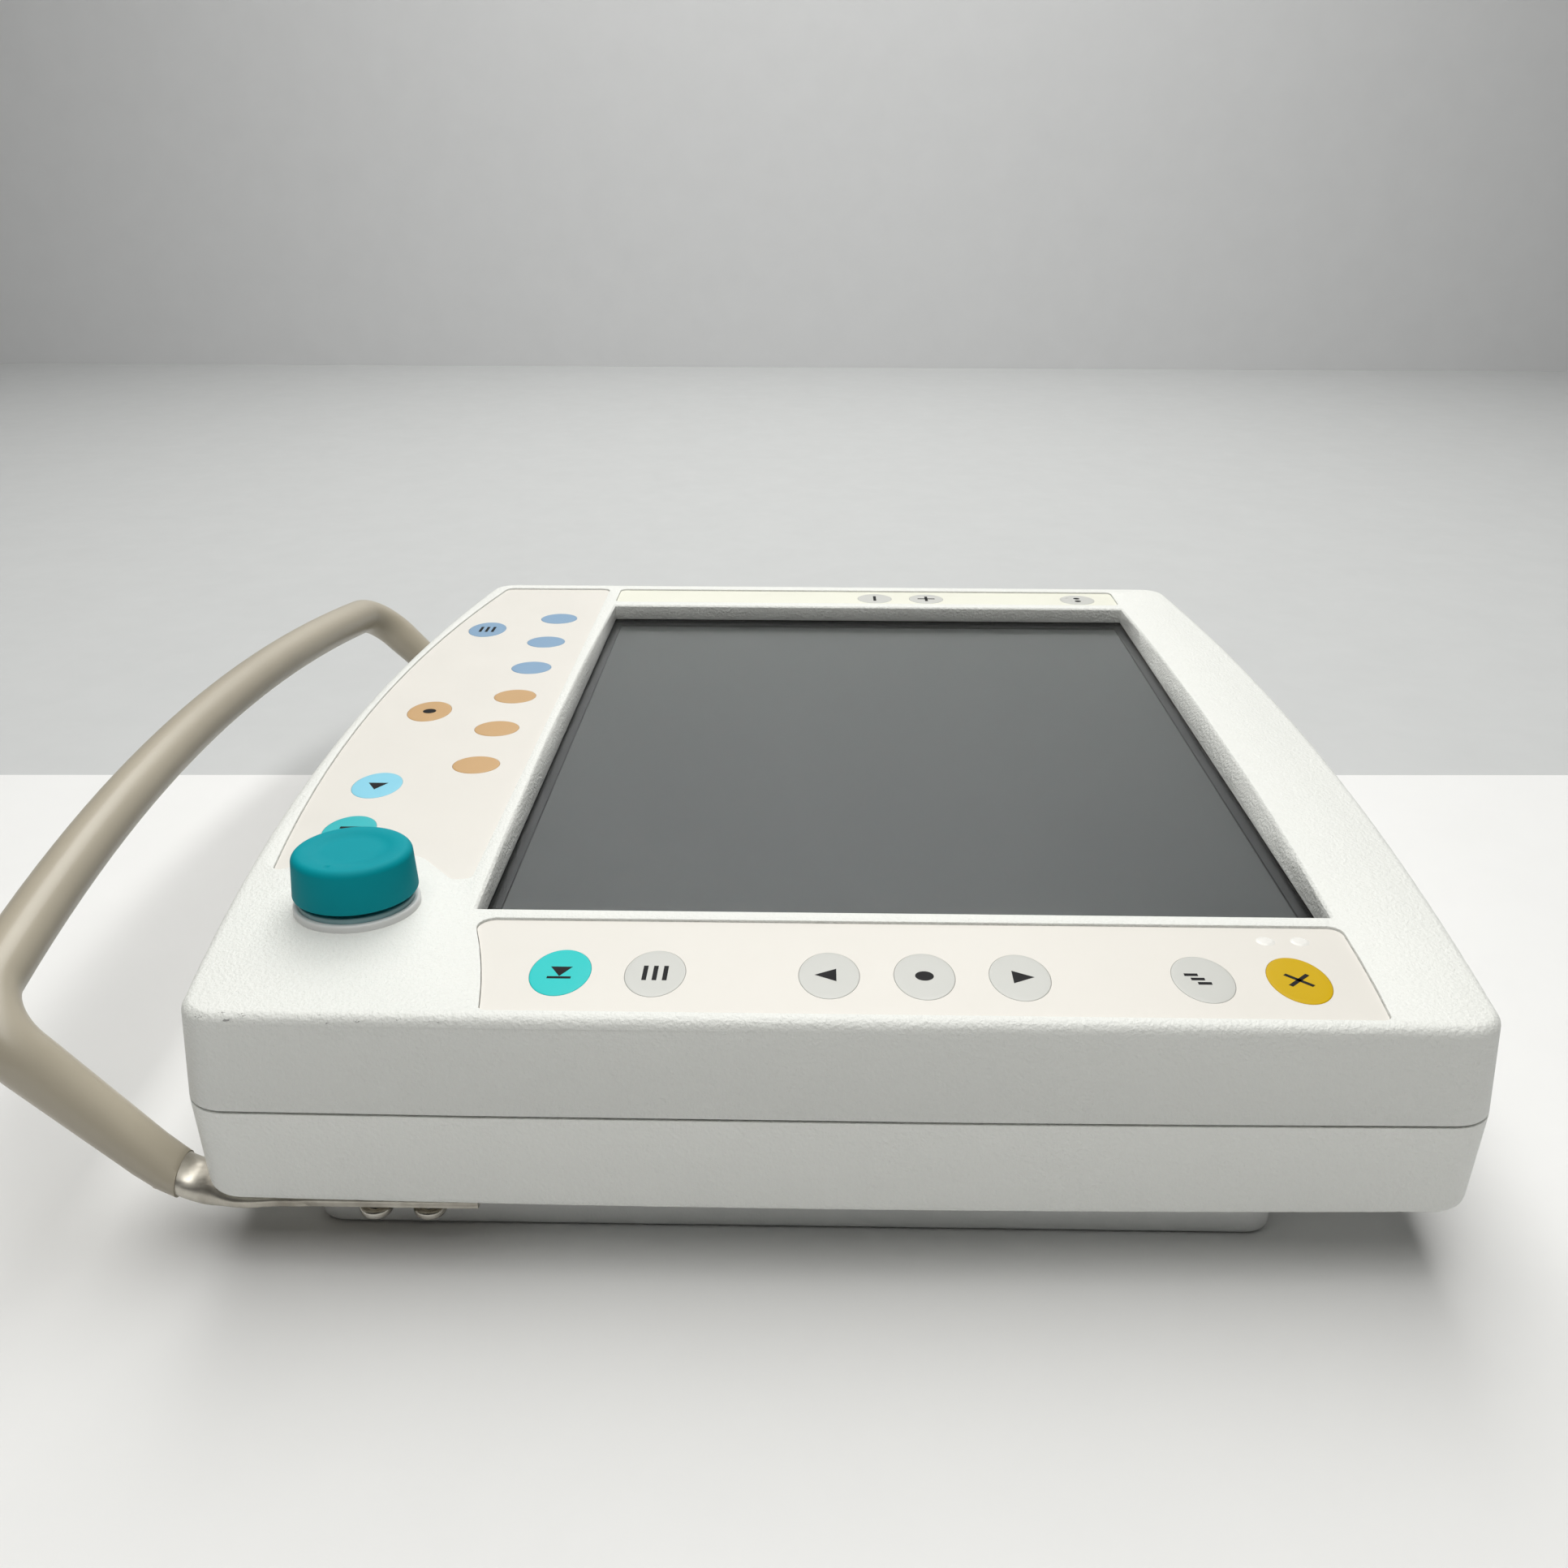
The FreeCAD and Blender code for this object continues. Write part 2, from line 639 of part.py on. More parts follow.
def socket_jackscrews():
    """Two hexagonal jack screws that hold the socket to the bay wall."""
    pieces = []
    for x in JACKS_X:
        nut = hexagon(0, 0, 0, 4.5, 4.8)
        nut.rotate(V(0, 0, 0), V(1, 0, 0), 90)
        nut.translate(V(x, BAY_WALL_Y, SOCKET_Z))
        shank = bar_y(x, SOCKET_Z, BAY_WALL_Y, BAY_WALL_Y + BLOCK_WALL + 5.0, JACK_R)
        bore = bar_y(x, SOCKET_Z, BAY_WALL_Y - 5.0, BAY_WALL_Y - 0.5, 1.2)
        pieces.append(fuse([nut, shank]).cut(bore))
    return pieces


def earth_stud():
    """Equipotential earth stud with its collar and nut."""
    y = BAY_WALL_Y
    wall_in = y + BLOCK_WALL
    nut = hexagon(0, 0, 0, 3.0, 10.0)
    nut.rotate(V(0, 0, 0), V(1, 0, 0), 90)
    nut.translate(V(STUD_X, wall_in + 3.0, SOCKET_Z))
    return fuse(
        [
            bar_y(STUD_X, SOCKET_Z, y - 13.0, wall_in + 6.0, STUD_R),
            bar_y(STUD_X, SOCKET_Z, y - 2.5, y, 6.0),
            nut,
        ]
    )


# ---------------------------------------------------------------- screen stack
def screen_box(half_w, half_h, z0, z1):
    """Block centred on the screen."""
    return box(
        SCREEN_X - half_w, SCREEN_X + half_w, SCREEN_Y - half_h, SCREEN_Y + half_h, z0, z1
    )


def screen_window():
    """Front filter glass under the opening."""
    return screen_box(
        OPENING_HALF_W + GLASS_MARGIN, OPENING_HALF_H + GLASS_MARGIN, GLASS_BOTTOM, GLASS_TOP
    )


def screen_gasket():
    """Foam frame between the glass and the screen module."""
    outer_w = OPENING_HALF_W + GLASS_MARGIN
    outer_h = OPENING_HALF_H + GLASS_MARGIN
    outer = screen_box(outer_w, outer_h, MODULE_TOP, GLASS_BOTTOM)
    return outer.cut(screen_box(outer_w - 4.5, outer_h - 4.5, MODULE_TOP, GLASS_BOTTOM))


def lcd_frame():
    """Black metal frame round the screen module."""
    frame = screen_box(MODULE_HALF_W, MODULE_HALF_H, MODULE_TOP - MODULE_T, MODULE_TOP)
    t = FRAME_T
    bottom = MODULE_TOP - MODULE_T
    hollow = screen_box(MODULE_HALF_W - t, MODULE_HALF_H - t, bottom, MODULE_TOP - t)
    window = screen_box(ACTIVE_HALF_W + 0.4, ACTIVE_HALF_H + 0.4, MODULE_TOP - 1.0, MODULE_TOP)
    holes = [
        disc(SCREEN_X + x, SCREEN_Y + y, MODULE_TOP - 1.0, MODULE_TOP, 1.6)
        for x, y in PANEL_SCREWS
    ]
    return cut(frame, [hollow, window] + holes)


def lcd_panel():
    """Liquid crystal cell: two bonded sheets of glass with a driver ledge."""
    top = MODULE_TOP - FRAME_T
    cell = screen_box(CELL_HALF_W, CELL_HALF_H, top - CELL_T, top)
    ledge = screen_box(CELL_HALF_W, 0.5 * LEDGE, top - CELL_T, top - 0.5 * CELL_T)
    ledge.translate(V(0, -CELL_HALF_H - 0.5 * LEDGE, 0))
    return fuse([cell, ledge])


def lcd_backlight():
    """Light guide and lamp tray behind the cell."""
    top = MODULE_TOP - FRAME_T - CELL_T
    return screen_box(CELL_HALF_W, CELL_HALF_H + LEDGE, MODULE_TOP - MODULE_T, top)


def chassis_plate():
    """Steel plate that carries the screen module and the boards."""
    low = CHASSIS_Z - CHASSIS_T
    pieces = [screen_box(CHASSIS_HALF_W, CHASSIS_HALF_H, low, CHASSIS_Z)]
    for side in (1, -1):
        flange = screen_box(150.0, 0.5 * CHASSIS_T, CHASSIS_Z - CHASSIS_FLANGE, CHASSIS_Z)
        flange.translate(V(0, side * (CHASSIS_HALF_H - 0.5 * CHASSIS_T), 0))
        pieces.append(flange)
    tools = [
        disc(SCREEN_X + x, SCREEN_Y + y, low - 1.0, CHASSIS_Z, 1.8) for x, y in CHASSIS_SCREWS
    ]
    tools += [disc(x, y, low - 1.0, CHASSIS_Z, SMALL_HOLE_R) for x, y in BOARD_POSTS]
    for i in range(5):
        window = screen_box(20.0, 7.5, low - 1.0, CHASSIS_Z)
        tools.append(window.translated(V(60.0 * (i - 2), 67.5, 0)))
    return cut(fuse(pieces), tools)


def module_pads():
    """Foam pads that press the screen module forward off the chassis."""
    return [
        screen_box(150.0, 6.0, CHASSIS_Z, MODULE_TOP - MODULE_T).translated(V(0, side * 90.0, 0))
        for side in (1, -1)
    ]


# ---------------------------------------------------------------- boards and speaker


def board_corners(board, margin=5.0):
    """Screw positions near the corners of a board."""
    x0, x1, y0, y1 = board
    return [(x, y) for x in (x0 + margin, x1 - margin) for y in (y0 + margin, y1 - margin)]


BOARD_POSTS = board_corners(DISPLAY_BOARD) + board_corners(INVERTER_BOARD)


def circuit_board(board, parts):
    """Board with its parts on the side that faces the back, drilled at the corners."""
    x0, x1, y0, y1 = board
    pieces = [box(x0, x1, y0, y1, BOARD_Z, BOARD_Z + BOARD_T)]
    for px, py, w, h, tall in parts:
        pieces.append(box(x0 + px, x0 + px + w, y0 + py, y0 + py + h, BOARD_Z - tall, BOARD_Z))
    solid = fuse(pieces)
    holes = [
        disc(x, y, BOARD_Z, BOARD_Z + BOARD_T, SMALL_HOLE_R) for x, y in board_corners(board)
    ]
    return cut(solid, holes)


def display_board():
    """Video board with its processor, memory and cable headers."""
    parts = [(45, 40, 28, 28, 2.4), (82, 46, 12, 20, 1.6), (20, 46, 12, 20, 1.6)]
    parts += [(20, 2, 60, 6, 8.0), (20, 105, 40, 6, 6.0), (98, 20, 18, 14, 10.0)]
    return circuit_board(DISPLAY_BOARD, parts)


def inverter_board():
    """Backlight and supply board with its transformer, coils and capacitors."""
    parts = [(12, 20, 26, 22, 12.0), (12, 50, 14, 14, 9.0), (32, 50, 14, 14, 9.0)]
    parts += [(12, 75, 10, 10, 11.0), (28, 75, 10, 10, 11.0), (14, 118, 30, 7, 6.0)]
    return circuit_board(INVERTER_BOARD, parts)


def board_standoffs():
    """Hexagonal spacers between the chassis and the boards."""
    top = CHASSIS_Z - CHASSIS_T
    return [
        hexagon(x, y, BOARD_Z + BOARD_T, top, STANDOFF_FLATS).cut(
            disc(x, y, BOARD_Z, top, SMALL_SCREW_R)
        )
        for x, y in BOARD_POSTS
    ]


def cross_recess(x, y, low, deep, head_r):
    """Two crossed slots, cut into a screw head from below."""
    long, short = 0.45 * head_r, 0.16 * head_r
    return [
        box(x - half_x, x + half_x, y - half_y, y + half_y, low - 1.0, deep)
        for half_x, half_y in ((long, short), (short, long))
    ]


def pan_screw(x, y, seat, length, r, head_r, head_h):
    """Pan head screw whose head hangs below its seat and whose shank points up."""
    low = seat - head_h
    profile = [(0, low), (0.62 * head_r, low), (0.93 * head_r, low + 0.4 * head_h)]
    profile += [(head_r, seat), (r, seat), (r, seat + length), (0, seat + length)]
    return cut(revolved(profile, x, y), cross_recess(x, y, low, low + 0.55 * head_h, head_r))


def board_screws():
    """Screws from the back through the boards into the spacers."""
    return [pan_screw(x, y, BOARD_Z, 6.0, SMALL_SCREW_R, 2.8, 1.9) for x, y in BOARD_POSTS]


def chassis_screws():
    """Screws from the back through the chassis into the bezel."""
    seat = CHASSIS_Z - CHASSIS_T
    return [
        pan_screw(SCREEN_X + x, SCREEN_Y + y, seat, 9.0, SMALL_SCREW_R, 3.0, 2.0)
        for x, y in CHASSIS_SCREWS
    ]


def alarm_speaker():
    """Small loudspeaker behind the sound holes: basket, magnet and dished cone in one piece."""
    x, y = SPEAKER
    z = Z_COVER_BACK + WALL
    outline = [(13.0, z), (15.5, z), (15.5, z + 1.5), (11.0, z + 7.0), (9.0, z + 7.0)]
    outline += [(9.0, z + 12.0), (0.0, z + 12.0), (0.0, z + 5.0), (4.0, z + 4.0)]
    return revolved(outline, x, y)


# ---------------------------------------------------------------- keypad
def strip_keys():
    """Key places of each strip."""
    return {"right": RIGHT_KEYS, "bottom": UPPER_KEYS + LOWER_KEYS, "left": LEFT_KEYS}


STRIPS = {"right": RIGHT_STRIP, "bottom": BOTTOM_STRIP, "left": LEFT_STRIP}


def switch_sheet(strip):
    """Membrane switch sheet on the floor of a recess."""
    floor = Z_FACE - RECESS
    return plate(STRIPS[strip], floor, floor + SHEET_T, OVERLAY_GAP)


def overlay(strip):
    """Printed film over a switch sheet, with one guide hole for each key."""
    z0 = Z_FACE - RECESS + SHEET_T
    z1 = Z_FACE - OVERLAY_SINK
    holes = [
        oval(x, y, z0, z1, half_w + KEY_FIT, half_h + KEY_FIT)
        for x, y, half_w, half_h in strip_keys()[strip]
    ]
    if strip == "right":
        holes += [disc(x, y, z0, z1, LED_R) for x, y in LED_SPOTS]
    return cut(plate(STRIPS[strip], z0, z1, OVERLAY_GAP), holes)


def key(x, y, half_w, half_h):
    """Round or oval key cap with a bevelled rim."""
    top = Z_FACE - OVERLAY_SINK + KEY_PROUD
    cap = oval(x, y, top - KEY_T, top, half_w, half_h)
    return cap.makeChamfer(KEY_BEVEL, edges_at(cap, top))


def alarm_lights():
    """Clear lenses of the two alarm lights."""
    z0 = Z_FACE - RECESS + SHEET_T
    top = Z_FACE - OVERLAY_SINK
    profile = [(0, z0), (LED_R, z0), (LED_R, top), (0.7 * LED_R, top + 0.25), (0, top + 0.35)]
    return [revolved(profile, x, y) for x, y in LED_SPOTS]


# ---------------------------------------------------------------- knob and encoder


def encoder_body():
    """Rotary encoder: square can with a threaded bushing through the front plate."""
    w = ENCODER_HALF_W
    low = ENCODER_TOP - ENCODER_H
    can = box(KNOB_X - w, KNOB_X + w, KNOB_Y - w, KNOB_Y + w, low, ENCODER_TOP)
    bushing = disc(KNOB_X, KNOB_Y, ENCODER_TOP, BUSHING_TOP, BUSHING_R)
    bore_bottom = SHAFT_BOTTOM - PLUNGER_T - KNOB_PUSH - 0.2
    bore = disc(KNOB_X, KNOB_Y, bore_bottom, BUSHING_TOP, SHAFT_R + SHAFT_FIT)
    return fuse([can, bushing]).cut(bore)


def encoder_nut():
    """Nut that holds the encoder, inside the collar."""
    z = Z_FACE + BOSS_H
    nut = hexagon(KNOB_X, KNOB_Y, z, z + NUT_T, NUT_FLATS)
    return nut.cut(disc(KNOB_X, KNOB_Y, z, z + NUT_T, BUSHING_R))


def encoder_shaft():
    """Shaft with a flat that keys it to the knob."""
    top = Z_FACE + KNOB_TOP_Z - 3.0
    shaft = disc(KNOB_X, KNOB_Y, SHAFT_BOTTOM, top, SHAFT_R)
    flat_z = Z_FACE + KNOB_BASE_Z + 1.0
    flat_y = KNOB_Y + SHAFT_FLAT_Y
    return shaft.cut(box(KNOB_X - 5, KNOB_X + 5, flat_y, flat_y + 5, flat_z, top + 1))


def encoder_plunger():
    """Thrust pin under the shaft that works the push switch."""
    return disc(KNOB_X, KNOB_Y, SHAFT_BOTTOM - PLUNGER_T, SHAFT_BOTTOM, SHAFT_R)


def knob_collar():
    """Fixed white ring round the foot of the knob, with a low drum inside it."""
    z = Z_FACE + BOSS_H
    shoulder = z + COLLAR_H
    profile = [
        (COLLAR_BORE, z),
        (COLLAR_R, z),
        (COLLAR_R, shoulder - COLLAR_EDGE),
        (COLLAR_R - COLLAR_EDGE, shoulder),
        (DRUM_R, shoulder),
        (DRUM_R, shoulder + DRUM_H),
        (COLLAR_BORE, shoulder + DRUM_H),
    ]
    return revolved(profile, KNOB_X, KNOB_Y)


def knob():
    """Soft-touch knob: tapered skirt, rounded rim, dished and dimpled top, hub on the shaft."""
    base = Z_FACE + KNOB_BASE_Z
    top = Z_FACE + KNOB_TOP_Z
    roof = base + KNOB_ROOF
    dish = top - KNOB_DISH
    corner = KNOB_RIM * (1 - math.cos(math.radians(45)))

    def at(radius, z):
        return V(KNOB_X + radius, KNOB_Y, z)

    rim = [
        at(KNOB_TOP_R, top - KNOB_RIM),
        at(KNOB_TOP_R - corner, top - corner),
        at(KNOB_TOP_R - KNOB_RIM, top),
    ]
    under = [
        at(0, roof),
        at(KNOB_BORE_R - 0.2, roof),
        at(KNOB_BORE_R, base),
        at(KNOB_BASE_R - 0.5, base),
        at(KNOB_BASE_R, base + 0.5),
        rim[0],
    ]
    over = [rim[2], at(KNOB_DISH_R, top), at(KNOB_DISH_R - 0.6, dish), at(0, dish), under[0]]
    edges = [line(a, b) for a, b in zip(under, under[1:])]
    edges.append(arc(*rim))
    edges += [line(a, b) for a, b in zip(over, over[1:])]
    axis = V(KNOB_X, KNOB_Y, 0)
    shell = Part.Face(Part.Wire(edges)).revolve(axis, V(0, 0, 1), 360)
    pieces = [shell, disc(KNOB_X, KNOB_Y, base + 1.0, roof, KNOB_HUB_R)]
    half_t = 0.5 * KNOB_RIB_T
    rib = box(KNOB_HUB_R - 0.5, KNOB_BORE_R - 0.1, -half_t, half_t, base + 4.0, roof)
    for turn in range(KNOB_RIBS):
        spoke = rib.rotated(V(0, 0, 0), V(0, 0, 1), 360.0 / KNOB_RIBS * turn)
        pieces.append(spoke.translated(axis))
    mark = Part.makeSphere(MARK_R, at(MARK_AT[0], top + MARK_R - MARK_DEPTH) + V(0, MARK_AT[1], 0))
    return cut(fuse(pieces), [encoder_shaft(), mark])


# ---------------------------------------------------------------- handle
def leg_point(across, along):
    """Point in the plane of the grip: across the casing and down along the legs."""
    slope = math.radians(LEG_SLOPE)
    return V(across, GRIP_Y + along * math.cos(slope), GRIP_Z - along * math.sin(slope))


def grip_path():
    """Centre line of the round tube: leg, bend, bowed grip, bend and leg, in one plane."""
    grip_r = (GRIP_HALF**2 + GRIP_BOW**2) / (2 * GRIP_BOW)
    grip_along = grip_r - GRIP_BOW
    bend_x = GRIP_HALF - BEND_R
    turn = math.asin(bend_x / (grip_r - BEND_R))
    bend_along = grip_along - (grip_r - BEND_R) * math.cos(turn)

    def bend(side):
        angles = (0.5 * math.pi, 0.25 * math.pi + 0.5 * turn, turn)
        places = [
            leg_point(
                side * (bend_x + BEND_R * math.sin(a)), bend_along - BEND_R * math.cos(a)
            )
            for a in angles
        ]
        return places[::side]

    first, last = bend(1), bend(-1)
    return Part.Wire(
        [
            line(leg_point(GRIP_HALF, LEG_ROUND), first[0]),
            arc(*first),
            arc(first[-1], leg_point(0.0, -GRIP_BOW), last[0]),
            arc(*last),
            line(last[-1], leg_point(-GRIP_HALF, LEG_ROUND)),
        ]
    )


def swage_section(centre, half_w, half_t, slope=0.0, squareness=2.0):
    """Closed section across the tube: an oval at squareness 2, slab-like when larger."""
    count = 24
    tilt = math.radians(slope)
    points = []
    for i in range(count):
        a = 2 * math.pi * i / count
        c, s = math.cos(a), math.sin(a)
        u = math.copysign(abs(c) ** (2.0 / squareness), c) * half_w
        w = math.copysign(abs(s) ** (2.0 / squareness), s) * half_t
        points.append(centre + V(u, w * math.sin(tilt), w * math.cos(tilt)))
    curve = Part.BSplineCurve()
    curve.interpolate(points, PeriodicFlag=True)
    return Part.Wire(curve.toShape())


def round_tube(radius):
    """The round tube, from one foot's start to the other's."""
    profile = swage_section(leg_point(GRIP_HALF, LEG_ROUND), radius, radius, LEG_SLOPE)
    return grip_path().makePipeShell([profile], True, False)


def foot_length():
    """Distance along the leg to the end of the foot bend."""
    return LEG_STRAIGHT + FOOT_R * math.radians(LEG_SLOPE - FOOT_SLOPE)


def foot_place(along):
    """Centre and slope of the right-hand leg or its foot bend at a distance along it."""
    if along <= LEG_STRAIGHT:
        return leg_point(GRIP_HALF, along), LEG_SLOPE
    slope = LEG_SLOPE - math.degrees((along - LEG_STRAIGHT) / FOOT_R)
    leg, here = math.radians(LEG_SLOPE), math.radians(slope)
    start = leg_point(GRIP_HALF, LEG_STRAIGHT)
    y = start.y + FOOT_R * (math.sin(leg) - math.sin(here))
    z = start.z - FOOT_R * (math.cos(here) - math.cos(leg))
    return V(GRIP_HALF + FOOT_DRIFT * (along - LEG_STRAIGHT), y, z), slope


def foot_sections(with_sleeve):
    """Sections of the narrowing foot, of the tube itself or of the sleeve round it."""
    sections = []
    end = foot_length()
    for along in (LEG_ROUND, 30.0, 45.0, LEG_STRAIGHT, 0.5 * (LEG_STRAIGHT + end), end):
        share = (along - LEG_ROUND) / (end - LEG_ROUND)
        half_w = TUBE_R + (FOOT_HALF_W - TUBE_R) * share
        half_t = TUBE_R + (FOOT_HALF_T - TUBE_R) * share
        wall = SLEEVE_T + (FOOT_SLEEVE_T - SLEEVE_T) * share if with_sleeve else 0.0
        centre, slope = foot_place(along)
        sections.append(swage_section(centre, half_w + wall, half_t + wall, slope))
    return sections


def strap_section():
    """Section of the strap where it starts."""
    start = V(STRAP_X, STRAP_Y0, Z_COVER_BACK - 0.5 * STRAP_T)
    return swage_section(start, STRAP_HALF_W, 0.5 * STRAP_T, 0.0, STRAP_SQUARENESS)


def swaged_neck():
    """Right-hand foot of the tube, from round to the thickness of the strap."""
    sections = foot_sections(False)
    for y, z, x, half_w, half_t, squareness in NECK:
        sections.append(swage_section(V(x, y, z), half_w, half_t, 0.0, squareness))
    return Part.makeLoft([*sections, strap_section()], True, False)


def strap():
    """Right-hand flat end of the tube, with two screw holes."""
    bar = Part.Face(strap_section()).extrude(V(0, STRAP_Y1 - STRAP_Y0, 0))
    holes = [disc(STRAP_X, y, 0, Z_COVER_BACK + 1, STRAP_HOLE_R) for y in STRAP_SCREWS]
    return cut(bar, holes)


def bare_tube():
    """Round tube with its two swaged ends."""
    foot = fuse([swaged_neck(), strap()])
    return fuse([round_tube(TUBE_R), foot, mirrored(foot)])


def handle_tube():
    """Steel tube of the handle, clear of the cover that its ends lie on."""
    return bare_tube().cut(cover_body())


def handle_sleeve():
    """Soft sleeve pulled over the tube, thinning out over the feet."""
    foot = Part.makeLoft(foot_sections(True), True, False)
    beyond = box(0, 250, SLEEVE_END_Y, SLEEVE_END_Y + 30, SLEEVE_END_Z - 20, SLEEVE_END_Z + 20)
    beyond.rotate(V(0, SLEEVE_END_Y, SLEEVE_END_Z), V(1, 0, 0), -SLEEVE_END_SLOPE)
    foot = foot.cut(beyond)
    whole = fuse([round_tube(TUBE_R + SLEEVE_T), foot, mirrored(foot)])
    return whole.cut(bare_tube())


def strap_spots():
    """Places of the strap screws."""
    return [(side * STRAP_X, y) for side in (1, -1) for y in STRAP_SCREWS]


def dome_screw(x, y):
    """Dome-headed screw, seated on a spacer below the strap."""
    seat = Z_COVER_BACK - STRAP_T - SPACER_T
    rim = seat - DOME_EDGE_T
    low = seat - DOME_H
    dome = [
        (DOME_R * math.sin(math.radians(a)), rim - (rim - low) * math.cos(math.radians(a)))
        for a in range(0, 91, 15)
    ]
    shank = [(DOME_SEAT_R, seat), (SCREW_R, seat), (SCREW_R, STRAP_SCREW_TOP), (0, STRAP_SCREW_TOP)]
    deep = low + 0.55 * DOME_H
    return cut(revolved(dome + shank, x, y), cross_recess(x, y, low, deep, DOME_R))


def handle_screws():
    """Four dome-headed screws that hold the straps."""
    return [dome_screw(x, y) for x, y in strap_spots()]


def handle_spacers():
    """Tubular spacers between the screw heads and the straps."""
    top = Z_COVER_BACK - STRAP_T
    return [ring(x, y, top - SPACER_T, top, SPACER_R, STRAP_HOLE_R) for x, y in strap_spots()]


# ---------------------------------------------------------------- remaining fasteners
def casing_screws():
    """Long screws from the back that join the casing halves."""
    return [pan_screw(x, y, CASE_SEAT, 18.0, SCREW_R, HEAD_R, HEAD_H) for x, y in CASE_SCREWS]


def block_screws():
    """Screws in wells that hold the rear block."""
    return [
        pan_screw(x, y, BLOCK_SEAT, 20.0, SMALL_SCREW_R, HEAD_R - 0.6, 2.4)
        for x, y in BLOCK_SCREWS
    ]


def mount_inserts():
    """Threaded bushes of the rear bolt pattern."""
    return [ring(x, y, Z_BACK, INSERT_TOP, INSERT_R, MOUNT_HOLE_R) for x, y in MOUNTS]


# ---------------------------------------------------------------- nodes
def nodes():
    """Every node's name and its solids."""
    yield "front_bezel", [front_bezel()]
    yield "rear_cover", [rear_cover()]
    yield "rear_block", [rear_block()]
    yield "casing_seal", [casing_seal()]
    yield "screen_window", [screen_window()]
    yield "screen_gasket", [screen_gasket()]
    yield "lcd_frame", [lcd_frame()]
    yield "lcd_panel", [lcd_panel()]
    yield "lcd_backlight", [lcd_backlight()]
    yield "module_pads", module_pads()
    yield "chassis_plate", [chassis_plate()]
    yield "display_board", [display_board()]
    yield "inverter_board", [inverter_board()]
    yield "board_standoffs", board_standoffs()
    yield "board_screws", board_screws()
    yield "chassis_screws", chassis_screws()
    yield "alarm_speaker", [alarm_speaker()]
    yield "alarm_lights", alarm_lights()
    for strip in STRIPS:
        yield f"switch_sheet_{strip}", [switch_sheet(strip)]
        yield f"overlay_{strip}", [overlay(strip)]
        for number, place in enumerate(strip_keys()[strip], 1):
            yield f"key_{strip}_{number}", [key(*place)]
    yield "encoder_body", [encoder_body()]
    yield "encoder_nut", [encoder_nut()]
    yield "encoder_shaft", [encoder_shaft()]
    yield "encoder_plunger", [encoder_plunger()]
    yield "knob_collar", [knob_collar()]
    yield "knob", [knob()]
    yield "handle_tube", [handle_tube()]
    yield "handle_sleeve", [handle_sleeve()]
    yield "handle_screws", handle_screws()
    yield "handle_spacers", handle_spacers()
    yield "casing_screws", casing_screws()
    yield "block_screws", block_screws()
    yield "mount_inserts", mount_inserts()
    yield "cable_socket", [cable_socket()]
    yield "socket_jackscrews", socket_jackscrews()
    yield "earth_stud", [earth_stud()]


os.makedirs("parts", exist_ok=True)
for node_name, node_solids in nodes():
    export(node_name, node_solids)
    print(node_name, sum(s.isValid() for s in node_solids), "of", len(node_solids))
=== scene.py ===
"""Looks of a flat patient monitor that lies on its back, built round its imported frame.

Metres, in the frame's own axes: +Z is the way the screen faces, +Y the top of the screen in
use and +X its right-hand side. Each sub-assembly is a class with its sizes as fields; each
finish is a frozen dataclass that builds one node material.
"""

import json
import logging
import math
from dataclasses import dataclass, field
from enum import Enum
from typing import Callable, Iterable

import bmesh
import bpy
from mathutils import Matrix, Vector

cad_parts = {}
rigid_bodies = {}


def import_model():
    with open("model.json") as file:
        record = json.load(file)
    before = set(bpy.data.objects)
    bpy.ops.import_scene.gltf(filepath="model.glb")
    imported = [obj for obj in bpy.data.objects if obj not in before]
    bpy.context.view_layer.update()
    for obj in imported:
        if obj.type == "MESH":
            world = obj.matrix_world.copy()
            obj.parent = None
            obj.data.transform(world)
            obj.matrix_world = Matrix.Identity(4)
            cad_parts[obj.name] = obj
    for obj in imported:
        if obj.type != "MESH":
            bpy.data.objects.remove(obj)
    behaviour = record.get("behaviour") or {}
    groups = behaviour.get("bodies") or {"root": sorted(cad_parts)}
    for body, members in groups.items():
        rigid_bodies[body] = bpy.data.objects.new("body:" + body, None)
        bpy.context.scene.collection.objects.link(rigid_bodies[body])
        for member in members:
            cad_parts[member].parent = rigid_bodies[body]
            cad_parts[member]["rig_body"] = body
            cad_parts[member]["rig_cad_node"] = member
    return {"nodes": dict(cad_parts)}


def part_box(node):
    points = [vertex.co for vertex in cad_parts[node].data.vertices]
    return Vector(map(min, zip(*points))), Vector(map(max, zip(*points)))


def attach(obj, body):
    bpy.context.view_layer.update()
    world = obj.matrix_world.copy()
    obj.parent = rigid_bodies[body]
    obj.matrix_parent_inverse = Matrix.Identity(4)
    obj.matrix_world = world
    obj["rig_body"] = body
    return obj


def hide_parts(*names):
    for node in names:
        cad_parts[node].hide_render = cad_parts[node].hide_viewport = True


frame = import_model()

LOG = logging.getLogger("monitor")
MM = 0.001
HAIR = 0.001 * MM  # heights this close are one level
WELD = 0.0002 * MM  # vertices this close are one in a node's mesh
DOUBLES = 0.002 * MM  # vertices this close are one in a built mesh
ON_AXIS = 0.2 * MM  # middles this close to an axis are on it
FLAT = 0.99  # least Z of a level face's normal
LEVEL = 0.1  # most Z of a level edge's direction
SHARP_DEG = 40.0  # least angle of an edge that is softened
HOUSING = "housing"

Material = bpy.types.Material
Node = bpy.types.Node
NodeTree = bpy.types.NodeTree
Piece = bpy.types.Object
Socket = bpy.types.NodeSocket
Triple = tuple[float, float, float]
Colour = Triple
Given = float | Triple | Socket
WHOLE: Triple = (1.0, 1.0, 1.0)


